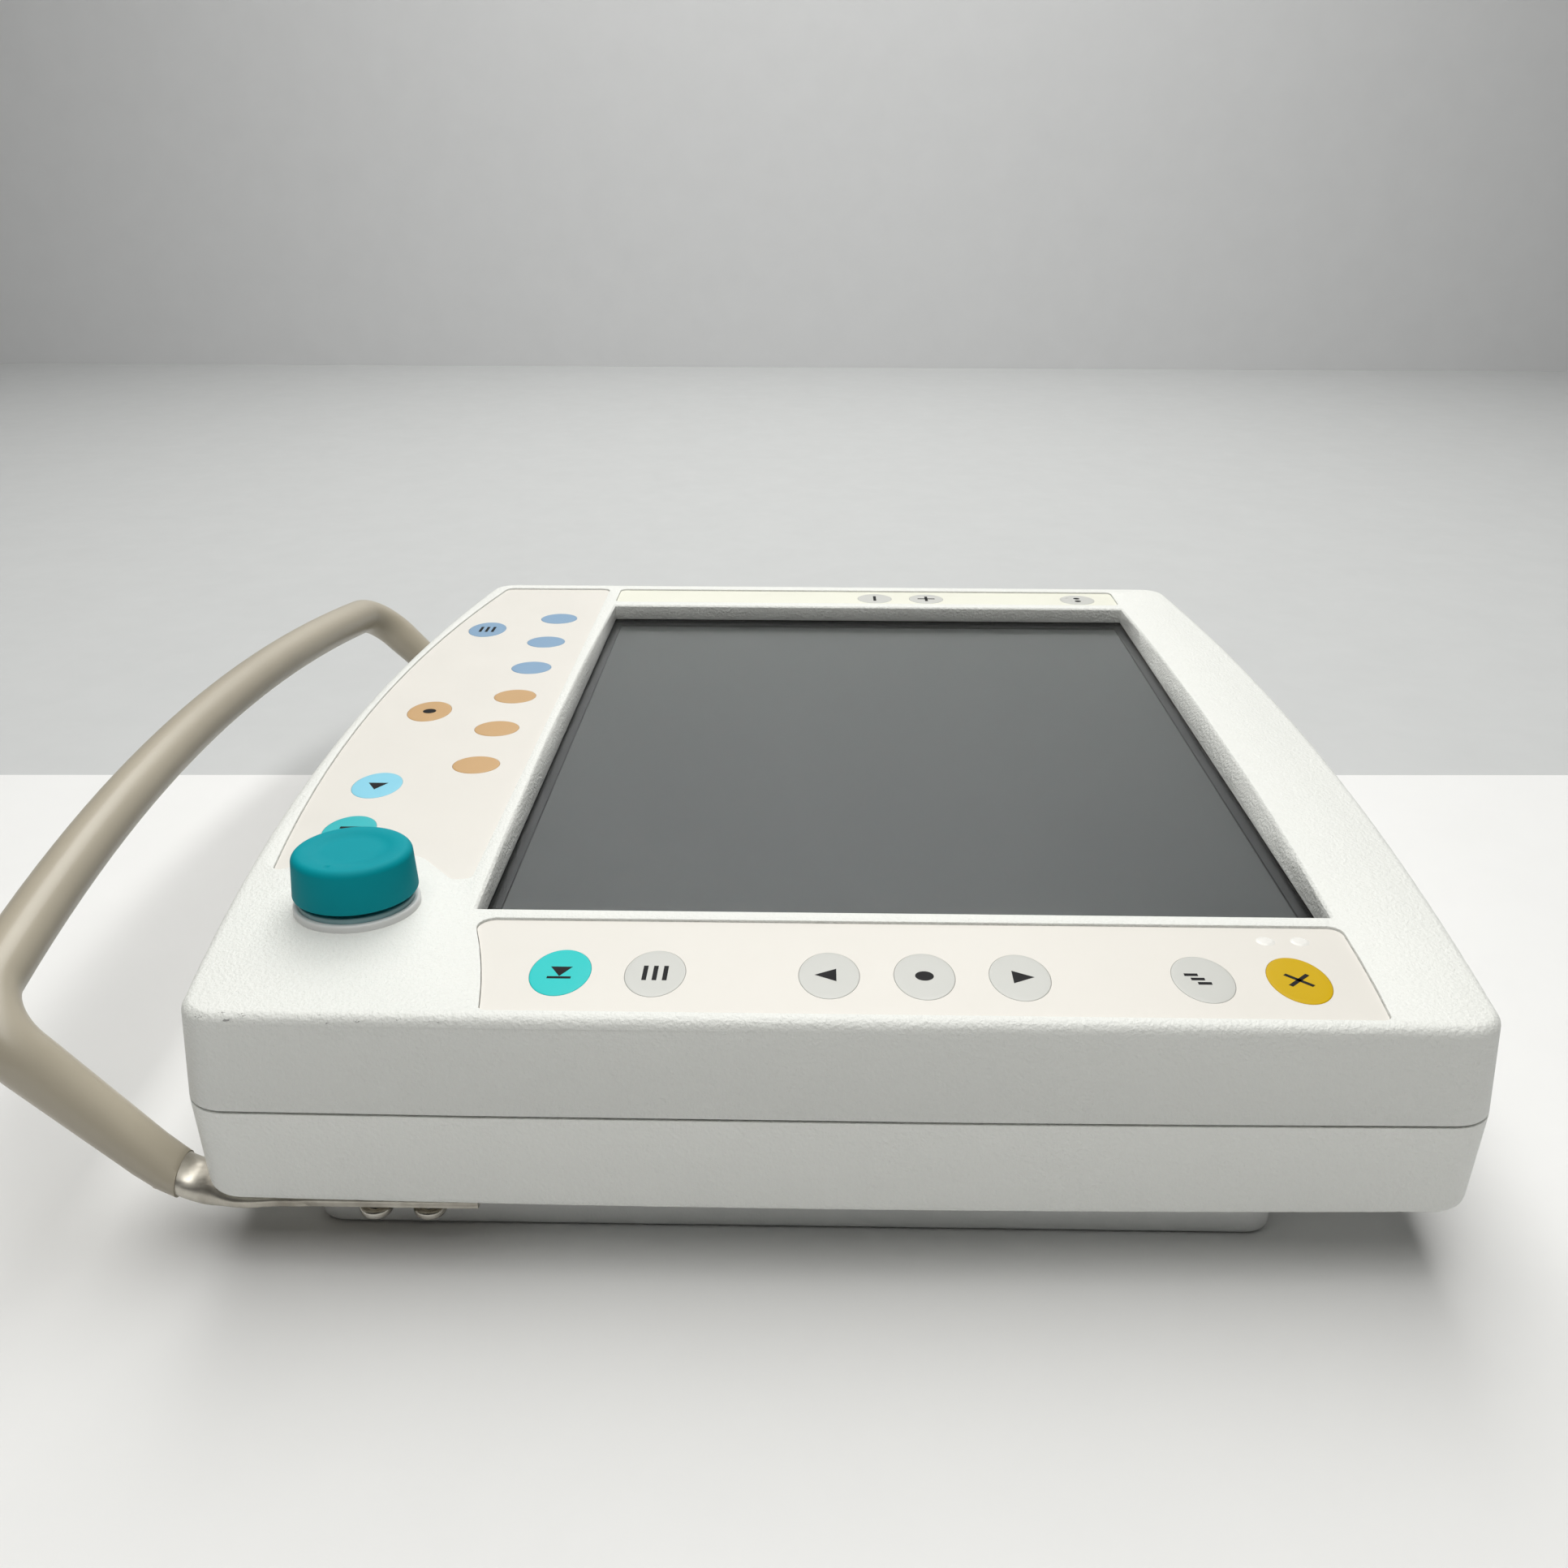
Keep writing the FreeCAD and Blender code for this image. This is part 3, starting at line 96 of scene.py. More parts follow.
# --- shader effects
class Effect(Enum):
    """Surface effects that several finishes share, each one node group."""

    GRAIN = "FineGrain"
    MOTTLE = "SoftMottle"
    NICKS = "SparseNicks"
    SCUFFS = "LongScuffs"
    EDGE_RUB = "EdgeRub"


class Tree:
    """Short ways to add and join nodes in one node tree."""

    COLUMN = 190.0
    MIX_SHARE, MIX_A, MIX_B, MIX_COLOUR = 0, 6, 7, 2

    def __init__(self, tree: NodeTree) -> None:
        """Takes the tree that the nodes go in."""
        self.tree = tree

    def feed(self, node: Node, given: dict[str | int, Given]) -> None:
        """Gives a node's inputs numbers, opaque colours or links.

        Args:
            node: The node.
            given: What each input gets, by its name or its place.
        """
        for key, value in given.items():
            socket = node.inputs[key]
            if isinstance(value, Socket):
                self.tree.links.new(value, socket)
            elif socket.type == "RGBA":
                socket.default_value = (*value, 1.0)
            else:
                socket.default_value = value

    def add(self, kind: str, given: dict[str | int, Given], **settings: object) -> Node:
        """Adds a node.

        Args:
            kind: The node's type name.
            given: What its inputs get.
            settings: Properties to set on the node.

        Returns:
            The new node.
        """
        made = self.tree.nodes.new(kind)
        made.location = (len(self.tree.nodes) * self.COLUMN, 0.0)
        for name, value in settings.items():
            setattr(made, name, value)
        self.feed(made, given)
        return made

    def math(self, operation: str, a: Given, b: Given = 0.0, clamp: bool = False) -> Socket:
        """Works on two numbers or sockets with a Math node."""
        made = self.add("ShaderNodeMath", {0: a, 1: b}, operation=operation, use_clamp=clamp)
        return made.outputs[0]

    def ramp(self, source: Socket, low: float, high: float) -> Socket:
        """Maps a value from the span low..high to 0..1, held at the ends."""
        given = {"Value": source, "From Min": low, "From Max": high}
        return self.add("ShaderNodeMapRange", given, clamp=True).outputs["Result"]

    def noise(self, place: Socket, scale: Given, detail: float = 2.0, rough: float = 0.5) -> Socket:
        """Adds a Noise Texture and gives its value."""
        given = {"Vector": place, "Scale": scale, "Detail": detail, "Roughness": rough}
        return self.add("ShaderNodeTexNoise", given).outputs["Fac"]

    def place(self) -> Socket:
        """Object coordinates of the surface."""
        return self.add("ShaderNodeTexCoord", {}).outputs["Object"]

    def stretched(self, place: Socket, scale: Triple, turn: Triple = (0.0, 0.0, 0.0)) -> Socket:
        """Scales and turns coordinates with a Mapping node."""
        given = {"Vector": place, "Scale": scale, "Rotation": turn}
        return self.add("ShaderNodeMapping", given).outputs["Vector"]

    def mix(self, share: Socket, a: Colour | Socket, b: Colour | Socket) -> Socket:
        """Mixes two colours by a share."""
        given = {self.MIX_SHARE: share, self.MIX_A: a, self.MIX_B: b}
        return self.add("ShaderNodeMix", given, data_type="RGBA").outputs[self.MIX_COLOUR]

    def bump(self, height: Socket, depth: float, strength: float) -> Socket:
        """Turns a height into a bumped normal."""
        given = {"Height": height, "Distance": depth, "Strength": strength}
        return self.add("ShaderNodeBump", given).outputs["Normal"]

    def effect(self, effect: Effect, **given: float) -> Socket:
        """Places one of the shared groups and gives its mask or height."""
        return self.add("ShaderNodeGroup", given, node_tree=effect_group(effect)).outputs[0]


def effect_group(effect: Effect) -> NodeTree:
    """Finds or builds the node group of an effect.

    Args:
        effect: Which effect.

    Returns:
        The group's node tree.
    """
    found = bpy.data.node_groups.get(effect.value)
    if found is not None:
        return found
    group = bpy.data.node_groups.new(effect.value, "ShaderNodeTree")
    GROUP_BUILDERS[effect](group)
    return group


def group_ends(group: NodeTree, inputs: dict[str, float]) -> tuple[Tree, dict[str, Socket], Node]:
    """Gives a group its float inputs and its one float output.

    Args:
        group: The group's node tree.
        inputs: The inputs with their defaults.

    Returns:
        The tree helper, the inputs' sockets and the output node.
    """
    for name, value in inputs.items():
        made = group.interface.new_socket(name, in_out="INPUT", socket_type="NodeSocketFloat")
        made.default_value = value
    group.interface.new_socket("Value", in_out="OUTPUT", socket_type="NodeSocketFloat")
    tree = Tree(group)
    sockets = tree.add("NodeGroupInput", {}).outputs
    return tree, {name: sockets[name] for name in inputs}, tree.add("NodeGroupOutput", {})


def build_grain(group: NodeTree) -> None:
    """Orange-peel or moulded grain: a height made of two noises.

    Args:
        group: The group's node tree.
    """
    wide_scale = 0.12
    tree, given, out = group_ends(group, {"Scale": 900.0, "Coarse": 0.3})
    place = tree.place()
    fine = tree.noise(place, given["Scale"], detail=3.0, rough=0.6)
    wide = tree.noise(place, tree.math("MULTIPLY", given["Scale"], wide_scale), detail=1.0)
    part = tree.math("MULTIPLY", wide, given["Coarse"])
    tree.feed(out, {"Value": tree.math("ADD", fine, part)})


def build_mottle(group: NodeTree) -> None:
    """Cloudy variation between 0 and 1, as on aged paint or handled rubber.

    Args:
        group: The group's node tree.
    """
    middle = 0.5
    tree, given, out = group_ends(group, {"Scale": 14.0, "Contrast": 1.0})
    cloud = tree.noise(tree.place(), given["Scale"], detail=4.0, rough=0.55)
    wide = tree.math("MULTIPLY", tree.math("SUBTRACT", cloud, middle), given["Contrast"])
    tree.feed(out, {"Value": tree.math("ADD", wide, middle, clamp=True)})


def build_nicks(group: NodeTree) -> None:
    """Small dark chips and dots, a few on each surface.

    Args:
        group: The group's node tree.
    """
    wobble_scale, wobble_reach = 420.0, 0.0022
    squash, turn = (1.0, 0.45, 0.8), (0.4, 0.2, 0.7)
    tree, given, out = group_ends(group, {"Scale": 40.0, "Size": 0.06, "Share": 0.12})
    place = tree.place()
    wobble = tree.add("ShaderNodeTexNoise", {"Vector": place, "Scale": wobble_scale})
    reach = {0: wobble.outputs["Color"], "Scale": wobble_reach}
    small = tree.add("ShaderNodeVectorMath", reach, operation="SCALE")
    both = {0: tree.stretched(place, squash, turn), 1: small.outputs[0]}
    shaken = tree.add("ShaderNodeVectorMath", both, operation="ADD").outputs[0]
    cells = tree.add("ShaderNodeTexVoronoi", {"Vector": shaken, "Scale": given["Scale"]})
    red = tree.add("ShaderNodeSeparateColor", {0: cells.outputs["Color"]}).outputs[0]
    chosen = tree.math("LESS_THAN", red, given["Share"])
    near = tree.math("LESS_THAN", cells.outputs["Distance"], given["Size"])
    tree.feed(out, {"Value": tree.math("MULTIPLY", chosen, near)})


def build_scuffs(group: NodeTree) -> None:
    """Fine long scratches in two directions.

    Args:
        group: The group's node tree.
    """
    streak_scale, patch_scale = (26.0, 1500.0, 420.0), (38.0, 38.0, 38.0)
    faint, full = 0.72, 0.78
    tree, given, out = group_ends(group, {"Density": 0.5})
    place = tree.place()
    bare = tree.math("SUBTRACT", 1.0, given["Density"])
    masks = []
    for turn in ((0.3, 0.1, 0.5), (1.1, 0.6, 2.1)):
        streak = tree.noise(tree.stretched(place, streak_scale, turn), 1.0)
        patch = tree.noise(tree.stretched(place, patch_scale, turn), 1.0, detail=1.0)
        local = tree.math("GREATER_THAN", patch, bare)
        masks.append(tree.math("MULTIPLY", tree.ramp(streak, faint, full), local))
    tree.feed(out, {"Value": tree.math("MAXIMUM", *masks)})


def build_edge_rub(group: NodeTree) -> None:
    """Flecked wear in a band round one height, strongest beyond one place along Y.

    Args:
        group: The group's node tree.
    """
    fleck_scale = (700.0, 260.0, 900.0)
    sparse, denser = 0.78, 0.22
    fade_from, fade_to = -0.02, 0.16
    inputs = {"Height": 0.0762, "Width": 0.0012, "From X": 0.2005, "Until Y": -0.02}
    tree, given, out = group_ends(group, inputs)
    place = tree.place()
    at = tree.add("ShaderNodeSeparateXYZ", {0: place}).outputs
    away = tree.math("ABSOLUTE", tree.math("SUBTRACT", at["Z"], given["Height"]))
    band = tree.math("LESS_THAN", away, given["Width"])
    side = tree.math("GREATER_THAN", at["X"], given["From X"])
    beyond = tree.math("SUBTRACT", given["Until Y"], at["Y"])
    near = tree.ramp(beyond, fade_from, fade_to)
    flecks = tree.noise(tree.stretched(place, fleck_scale), 1.0, detail=4.0, rough=0.7)
    limit = tree.math("SUBTRACT", sparse, tree.math("MULTIPLY", near, denser))
    fleck = tree.math("GREATER_THAN", flecks, limit)
    tree.feed(out, {"Value": tree.math("MULTIPLY", tree.math("MULTIPLY", band, side), fleck)})


GROUP_BUILDERS: dict[Effect, Callable[[NodeTree], None]] = {
    Effect.GRAIN: build_grain,
    Effect.MOTTLE: build_mottle,
    Effect.NICKS: build_nicks,
    Effect.SCUFFS: build_scuffs,
    Effect.EDGE_RUB: build_edge_rub,
}


# --- finishes
@dataclass(frozen=True)
class Finish:
    """A named finish; each kind works out its own shader inputs."""

    name: str

    def material(self) -> Material:
        """The finish's material, built when it is first asked for."""
        return bpy.data.materials.get(f"{self.name}.finish") or self.build()

    def build(self) -> Material:
        """Builds the finish's node material.

        Returns:
            The material.
        """
        material = bpy.data.materials.new(f"{self.name}.finish")
        material.use_nodes = True
        material.node_tree.nodes.clear()
        tree = Tree(material.node_tree)
        shader = tree.add("ShaderNodeBsdfPrincipled", self.inputs(tree))
        tree.add("ShaderNodeOutputMaterial", {"Surface": shader.outputs[0]})
        return material

    def inputs(self, tree: Tree) -> dict[str, Given]:
        """What the Principled BSDF's inputs get, by name."""
        raise NotImplementedError


@dataclass(frozen=True)
class Paint(Finish):
    """Sprayed or moulded plastic with a fine grain, faint clouds and a few nicks."""

    base: Colour = (0.82, 0.83, 0.80)
    shade: Colour = (0.79, 0.80, 0.775)
    roughness: float = 0.42
    grain_scale: float = 950.0
    grain_depth: float = 0.00018
    nick_share: float = 0.05
    rub_height: float = 0.0
    rub_colour: Colour = (0.36, 0.36, 0.35)
    nick_colour: Colour = (0.10, 0.10, 0.10)

    def inputs(self, tree: Tree) -> dict[str, Given]:
        """Adds the paint's nodes.

        Args:
            tree: The tree that they go in.

        Returns:
            What the Principled BSDF's inputs get.
        """
        clouds = tree.effect(Effect.MOTTLE, Scale=9.0, Contrast=1.4)
        colour = tree.mix(clouds, self.base, self.shade)
        nicks = tree.effect(Effect.NICKS, Scale=33.0, Size=0.022, Share=self.nick_share)
        colour = tree.mix(nicks, colour, self.nick_colour)
        if self.rub_height:
            rub = tree.effect(Effect.EDGE_RUB, Height=self.rub_height)
            colour = tree.mix(rub, colour, self.rub_colour)
        grain = tree.effect(Effect.GRAIN, Scale=self.grain_scale, Coarse=0.5)
        return {
            "Base Color": colour,
            "Normal": tree.bump(grain, self.grain_depth, strength=0.8),
            "Roughness": self.roughness,
            "Specular IOR Level": 0.42,
        }


@dataclass(frozen=True)
class Film(Finish):
    """Printed membrane film: flat colour with faint clouds and a satin, pebbled face."""

    base: Colour = (0.81, 0.79, 0.73)
    drift: Colour = (0.79, 0.765, 0.71)
    roughness: float = 0.36
    pebble_scale: float = 2400.0
    pebble_depth: float = 0.00003
    shine: float = 0.4

    def inputs(self, tree: Tree) -> dict[str, Given]:
        """Adds the film's nodes.

        Args:
            tree: The tree that they go in.

        Returns:
            What the Principled BSDF's inputs get.
        """
        clouds = tree.effect(Effect.MOTTLE, Scale=22.0, Contrast=1.2)
        pebbles = tree.effect(Effect.GRAIN, Scale=self.pebble_scale, Coarse=0.2)
        prints = tree.effect(Effect.MOTTLE, Scale=60.0, Contrast=1.6)
        smudge = tree.ramp(prints, low=-1.6, high=2.2)
        return {
            "Base Color": tree.mix(clouds, self.base, self.drift),
            "Normal": tree.bump(pebbles, self.pebble_depth, strength=0.6),
            "Roughness": tree.math("MULTIPLY", smudge, 2.0 * self.roughness),
            "Specular IOR Level": self.shine,
        }


@dataclass(frozen=True)
class Metal(Finish):
    """Bare or plated metal with brushed streaks and tarnish."""

    base: Colour = (0.60, 0.58, 0.54)
    tarnish: Colour = (0.36, 0.33, 0.28)
    roughness: float = 0.32
    metallic: float = 1.0
    streak: Triple = (1400.0, 60.0, 1400.0)
    streak_depth: float = 0.00004

    def inputs(self, tree: Tree) -> dict[str, Given]:
        """Adds the metal's nodes.

        Args:
            tree: The tree that they go in.

        Returns:
            What the Principled BSDF's inputs get.
        """
        patches = tree.effect(Effect.MOTTLE, Scale=120.0, Contrast=2.4)
        lines = tree.noise(tree.stretched(tree.place(), self.streak), 1.0, detail=3.0, rough=0.6)
        dull = tree.ramp(lines, low=-0.6, high=1.6)
        return {
            "Base Color": tree.mix(patches, self.base, self.tarnish),
            "Normal": tree.bump(lines, self.streak_depth, strength=0.5),
            "Roughness": tree.math("MULTIPLY", dull, 2.0 * self.roughness),
            "Metallic": self.metallic,
        }


@dataclass(frozen=True)
class Rubber(Finish):
    """Soft-touch rubber or vinyl with handling marks."""

    base: Colour = (0.0, 0.30, 0.33)
    worn: Colour = (0.02, 0.36, 0.39)
    roughness: float = 0.48
    gloss: float = 0.0
    scuff_density: float = 0.35
    scuff_colour: Colour = (0.45, 0.42, 0.38)
    grain_depth: float = 0.00004
    shine: float = 0.5

    def inputs(self, tree: Tree) -> dict[str, Given]:
        """Adds the rubber's nodes.

        Args:
            tree: The tree that they go in.

        Returns:
            What the Principled BSDF's inputs get.
        """
        clouds = tree.effect(Effect.MOTTLE, Scale=26.0, Contrast=1.8)
        scuffs = tree.effect(Effect.SCUFFS, Density=self.scuff_density)
        grain = tree.effect(Effect.GRAIN, Scale=1500.0, Coarse=0.6)
        clean = tree.mix(clouds, self.base, self.worn)
        return {
            "Base Color": tree.mix(scuffs, clean, self.scuff_colour),
            "Normal": tree.bump(grain, self.grain_depth, strength=0.5),
            "Roughness": self.roughness,
            "Specular IOR Level": self.shine,
            "Coat Weight": self.gloss,
            "Coat Roughness": 0.22,
        }


@dataclass(frozen=True)
class Glass(Finish):
    """Clear filter glass or a clear moulded lens."""

    tint: Colour = (0.80, 0.82, 0.83)
    roughness: float = 0.06
    ior: float = 1.5

    def inputs(self, tree: Tree) -> dict[str, Given]:
        """Adds the glass's nodes.

        Args:
            tree: The tree that they go in.

        Returns:
            What the Principled BSDF's inputs get.
        """
        clouds = tree.effect(Effect.MOTTLE, Scale=18.0, Contrast=2.0)
        smear = tree.ramp(clouds, low=-1.0, high=3.0)
        return {
            "Base Color": self.tint,
            "Roughness": tree.math("MULTIPLY", smear, 3.0 * self.roughness),
            "Transmission Weight": 1.0,
            "IOR": self.ior,
        }


class Finishes:
    """Every finish of the monitor."""

    INK: Colour = (0.012, 0.012, 0.012)
    SOOT: Colour = (0.02, 0.02, 0.02)
    COAL: Colour = (0.03, 0.03, 0.03)
    CASING = Paint("casing_paint", grain_depth=0.0006, nick_share=0.06, rub_height=0.0762)
    # Painted light: the cover's paint is lighter than the casing's, so that its lower wall shows the
    # light that the table throws back onto it.
    COVER_WITH_PAINTED_BOUNCE = Paint("cover_paint_with_painted_bounce", (0.89, 0.90, 0.87), (0.86, 0.87, 0.84), grain_depth=0.0006)
    # Painted light: the block's paint is lighter than the casing's, which it matches in colour, to
    # brighten it in the shade under the casing.
    BLOCK = Paint("block_plastic", (0.92, 0.93, 0.92), (0.88, 0.89, 0.88))
    SEAL = Rubber("seal_rubber", INK, SOOT, 0.8)
    GLASS = Glass("screen_glass", ior=1.16)
    FOAM = Rubber("foam", INK, SOOT, 0.9)
    BLACK_STEEL = Paint("black_steel", (0.012, 0.012, 0.013), SOOT, 0.5, nick_share=0.0)
    CELL = Paint(
        "lcd_cell", (0.090, 0.093, 0.090), (0.100, 0.103, 0.099), 0.5, 2600.0, 0.00002, nick_share=0.0
    )
    GUIDE = Film("light_guide", (0.70, 0.71, 0.73), (0.66, 0.67, 0.69))
    ZINC = Metal("zinc_steel", (0.62, 0.63, 0.62), (0.48, 0.49, 0.48), 0.36)
    BOARD = Film("board_green", (0.02, 0.16, 0.06), (0.015, 0.12, 0.05), 0.3)
    BRASS = Metal("brass_bush", (0.70, 0.50, 0.20), (0.50, 0.34, 0.12), 0.3)
    SPEAKER = Paint("speaker_black", SOOT, COAL, 0.6, nick_share=0.0)
    LENS = Film("lamp_lens", (0.84, 0.83, 0.80), (0.80, 0.79, 0.76), 0.18)
    ENCODER = Paint("encoder_black", SOOT, COAL, 0.5, nick_share=0.0)
    NICKEL = Metal("nickel_steel", (0.68, 0.66, 0.61), (0.45, 0.42, 0.36), 0.24)
    COLLAR = Film("collar_white", (0.82, 0.82, 0.81), (0.79, 0.80, 0.80), 0.3)
    # Painted reflection: the riser's own pale blue-grey is tinted with the teal that it reflects from
    # the knob.
    RISER_WITH_PAINTED_REFLECTION = Film("collar_riser_with_painted_reflection", (0.28, 0.45, 0.48), (0.25, 0.42, 0.45), 0.3)
    KNOB = Rubber("knob_teal", (0.0, 0.27, 0.325), (0.0, 0.30, 0.355), 0.6, 0.0, 0.06, shine=0.09)
    HANDLE_METAL = Metal("handle_metal", (0.66, 0.63, 0.56), (0.38, 0.35, 0.30), 0.42, 0.85)
    SLEEVE = Rubber(
        "handle_sleeve", (0.40, 0.357, 0.28), (0.44, 0.395, 0.31), 0.42, 0.35, 0.3, (0.55, 0.51, 0.45)
    )
    OVERLAY = Film("overlay_film", (0.735, 0.71, 0.665), (0.715, 0.69, 0.645))
    OVERLAY_AGED = Film("overlay_film_aged", (0.79, 0.79, 0.69), (0.77, 0.77, 0.67))
    SWITCH = Film("switch_film", (0.25, 0.22, 0.18), (0.20, 0.17, 0.13))
    CYAN = Film("key_cyan", (0.02, 0.56, 0.555), (0.02, 0.535, 0.53), 0.34, shine=0.12)
    GREY = Film("key_grey", (0.56, 0.565, 0.54), (0.54, 0.545, 0.52), 0.3)
    YELLOW = Film("key_yellow", (0.58, 0.375, 0.001), (0.56, 0.36, 0.001), 0.34, shine=0.12)
    TAN = Film("key_tan", (0.56, 0.34, 0.145), (0.54, 0.33, 0.14), 0.3)
    BLUE = Film("key_blue", (0.20, 0.345, 0.52), (0.19, 0.33, 0.50), 0.3)
    SKY = Film("key_sky", (0.23, 0.61, 0.78), (0.22, 0.585, 0.75), 0.3)
    TEAL = Film("key_teal", (0.01, 0.46, 0.50), (0.01, 0.44, 0.48), 0.3)
    PRINT = Film("key_print", (0.02, 0.02, 0.022), (0.015, 0.015, 0.016), 0.6, shine=0.08)


# The frame's nodes that stay as they are, by finish.
NODES_KEPT: tuple[tuple[Finish, str], ...] = (
    (Finishes.SEAL, "casing_seal"),
    (Finishes.GLASS, "screen_window"),
    (Finishes.FOAM, "screen_gasket module_pads"),
    (Finishes.BLACK_STEEL, "lcd_frame"),
    (Finishes.CELL, "lcd_panel"),
    (Finishes.GUIDE, "lcd_backlight"),
    (Finishes.ZINC, "chassis_plate board_screws chassis_screws casing_screws block_screws"),
    (Finishes.BOARD, "display_board inverter_board"),
    (Finishes.BRASS, "board_standoffs mount_inserts"),
    (Finishes.SPEAKER, "alarm_speaker"),
    (Finishes.LENS, "alarm_lights"),
    (Finishes.SWITCH, "switch_sheet_right switch_sheet_bottom switch_sheet_left"),
    (Finishes.ENCODER, "encoder_body encoder_plunger"),
    (Finishes.NICKEL, "encoder_nut encoder_shaft handle_spacers"),
    (Finishes.NICKEL, "cable_socket socket_jackscrews earth_stud"),
)


# --- bench: mesh work
class Pick(Enum):
    """Kind of mesh element that a selection takes."""

    EDGE = "EDGE"
    FACE = "FACE"


def clear() -> None:
    """Leaves nothing selected, in object mode."""
    if bpy.context.mode != "OBJECT":
        bpy.ops.object.mode_set(mode="OBJECT")
    bpy.ops.object.select_all(action="DESELECT")


def take(piece: Piece) -> None:
    """Makes one piece the only selected and active object.

    Args:
        piece: The piece.
    """
    clear()
    piece.select_set(True)
    bpy.context.view_layer.objects.active = piece


def settle() -> None:
    """Works the active piece's place, turn and scale into its mesh."""
    bpy.ops.object.transform_apply(location=True, rotation=True, scale=True)


def named(name: str) -> Piece:
    """Names the active piece and its mesh.

    Args:
        name: The name.

    Returns:
        The piece.
    """
    piece = bpy.context.active_object
    piece.name = name
    piece.data.name = name
    return piece


def made(name: str, scale: Triple = WHOLE) -> Piece:
    """Names the primitive that was just added, scales it and settles it.

    Args:
        name: The name.
        scale: Its scale along each axis.

    Returns:
        The piece.
    """
    piece = named(name)
    piece.scale = scale
    settle()
    return piece


def edit(piece: Piece) -> None:
    """Opens a piece in edit mode."""
    take(piece)
    bpy.ops.object.mode_set(mode="EDIT")


def pick(piece: Piece, kind: Pick, wanted: Callable[[Vector, Vector], bool]) -> None:
    """Selects elements of the piece in edit mode.

    Args:
        piece: The piece in edit mode.
        kind: Which elements.
        wanted: Test of an element's middle and its normal, or an edge's direction.
    """
    bpy.ops.mesh.select_mode(type=kind.value)
    bpy.ops.mesh.select_all(action="DESELECT")
    mesh = bmesh.from_edit_mesh(piece.data)
    mesh.normal_update()
    if kind is Pick.FACE:
        for face in mesh.faces:
            face.select_set(wanted(face.calc_center_median(), face.normal))
    else:
        for edge in mesh.edges:
            a, b = edge.verts[0].co, edge.verts[1].co
            edge.select_set(wanted((a + b) * 0.5, (b - a).normalized()))
    mesh.select_flush_mode()
    bmesh.update_edit_mesh(piece.data)


def bevel_level(
    piece: Piece, height: float, offset: float, segments: int, profile: float = 0.5
) -> None:
    """Rounds the level edges at one height of a piece in edit mode; profile 0.5 is an arc."""
    pick(piece, Pick.EDGE, lambda m, d: abs(m.z - height) < HAIR and abs(d.z) < LEVEL)
    bpy.ops.mesh.bevel(offset=offset, segments=segments, profile=profile)


def smooth(piece: Piece, smooth_deg: float) -> Piece:
    """Closes edit mode, applies the place and smooths the shading.

    Args:
        piece: The piece.
        smooth_deg: Faces that meet at less than this angle are smooth.

    Returns:
        The piece.
    """
    take(piece)
    settle()
    bpy.ops.object.shade_smooth_by_angle(angle=math.radians(smooth_deg))
    return piece


def modify(piece: Piece, kind: str, **settings: object) -> None:
    """Adds a modifier, sets it and applies it.

    Args:
        piece: The piece.
        kind: The modifier's type.
        settings: Properties to set on the modifier.
    """
    take(piece)
    modifier = piece.modifiers.new(kind.title(), kind)
    for name, value in settings.items():
        setattr(modifier, name, value)
    bpy.ops.object.modifier_apply(modifier=modifier.name)


def drum(
    name: str, middle: Vector, radius: float, height: float, sides: int, scale: Triple = WHOLE
) -> Piece:
    """Adds an upright bar, opened in edit mode.

    Args:
        name: The piece's name.
        middle: Centre of the bar.
        radius: Its radius.
        height: Its height.
        sides: Steps round it.
        scale: Its scale along each axis.

    Returns:
        The piece.
    """
    clear()
    bpy.ops.mesh.primitive_cylinder_add(vertices=sides, radius=radius, depth=height, location=middle)
    piece = made(name, scale)
    edit(piece)
    return piece


def join(pieces: list[Piece], name: str) -> Piece:
    """Joins pieces into the first one.

    Args:
        pieces: The pieces.
        name: Name of the whole.

    Returns:
        The whole.
    """
    clear()
    for piece in pieces:
        piece.select_set(True)
    bpy.context.view_layer.objects.active = pieces[0]
    bpy.ops.object.join()
    return named(name)


def copy_to(piece: Piece, step: Vector) -> Piece:
    """Copies a piece with its own mesh, moved by a step that goes into the mesh.

    Args:
        piece: The piece.
        step: The step.

    Returns:
        The copy.
    """
    take(piece)
    bpy.ops.object.duplicate()
    copied = bpy.context.active_object
    copied.location = step
    settle()
    return copied


def carve(piece: Piece, tool: Piece) -> None:
    """Cuts the tool's shape out of a piece and deletes the tool.

    Args:
        piece: The piece.
        tool: The tool.
    """
    modify(piece, "BOOLEAN", operation="DIFFERENCE", solver="EXACT", object=tool)
    take(tool)
    bpy.ops.object.delete()


def outward(piece: Piece) -> None:
    """Merges doubles and turns every face outwards.

    Args:
        piece: The piece.
    """
    edit(piece)
    bpy.ops.mesh.select_all(action="SELECT")
    bpy.ops.mesh.remove_doubles(threshold=DOUBLES)
    bpy.ops.mesh.normals_make_consistent(inside=False)
    bpy.ops.object.mode_set(mode="OBJECT")


def dress(piece: Piece, finish: Finish, body: str, nodes: Iterable[str]) -> None:
    """Gives a finished piece its material and its body, and hides the frame's nodes that it stands
    for.

    Args:
        piece: The finished piece, at the origin.
        finish: Its finish.
        body: The body that it rides on.
        nodes: The frame's nodes that it replaces.
    """
    piece.data.materials.clear()
    piece.data.materials.append(finish.material())
    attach(piece, body)
    names = list(nodes)
    if names:
        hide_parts(*names)
    LOG.info("%s: %d faces on %s", piece.name, len(piece.data.polygons), body)


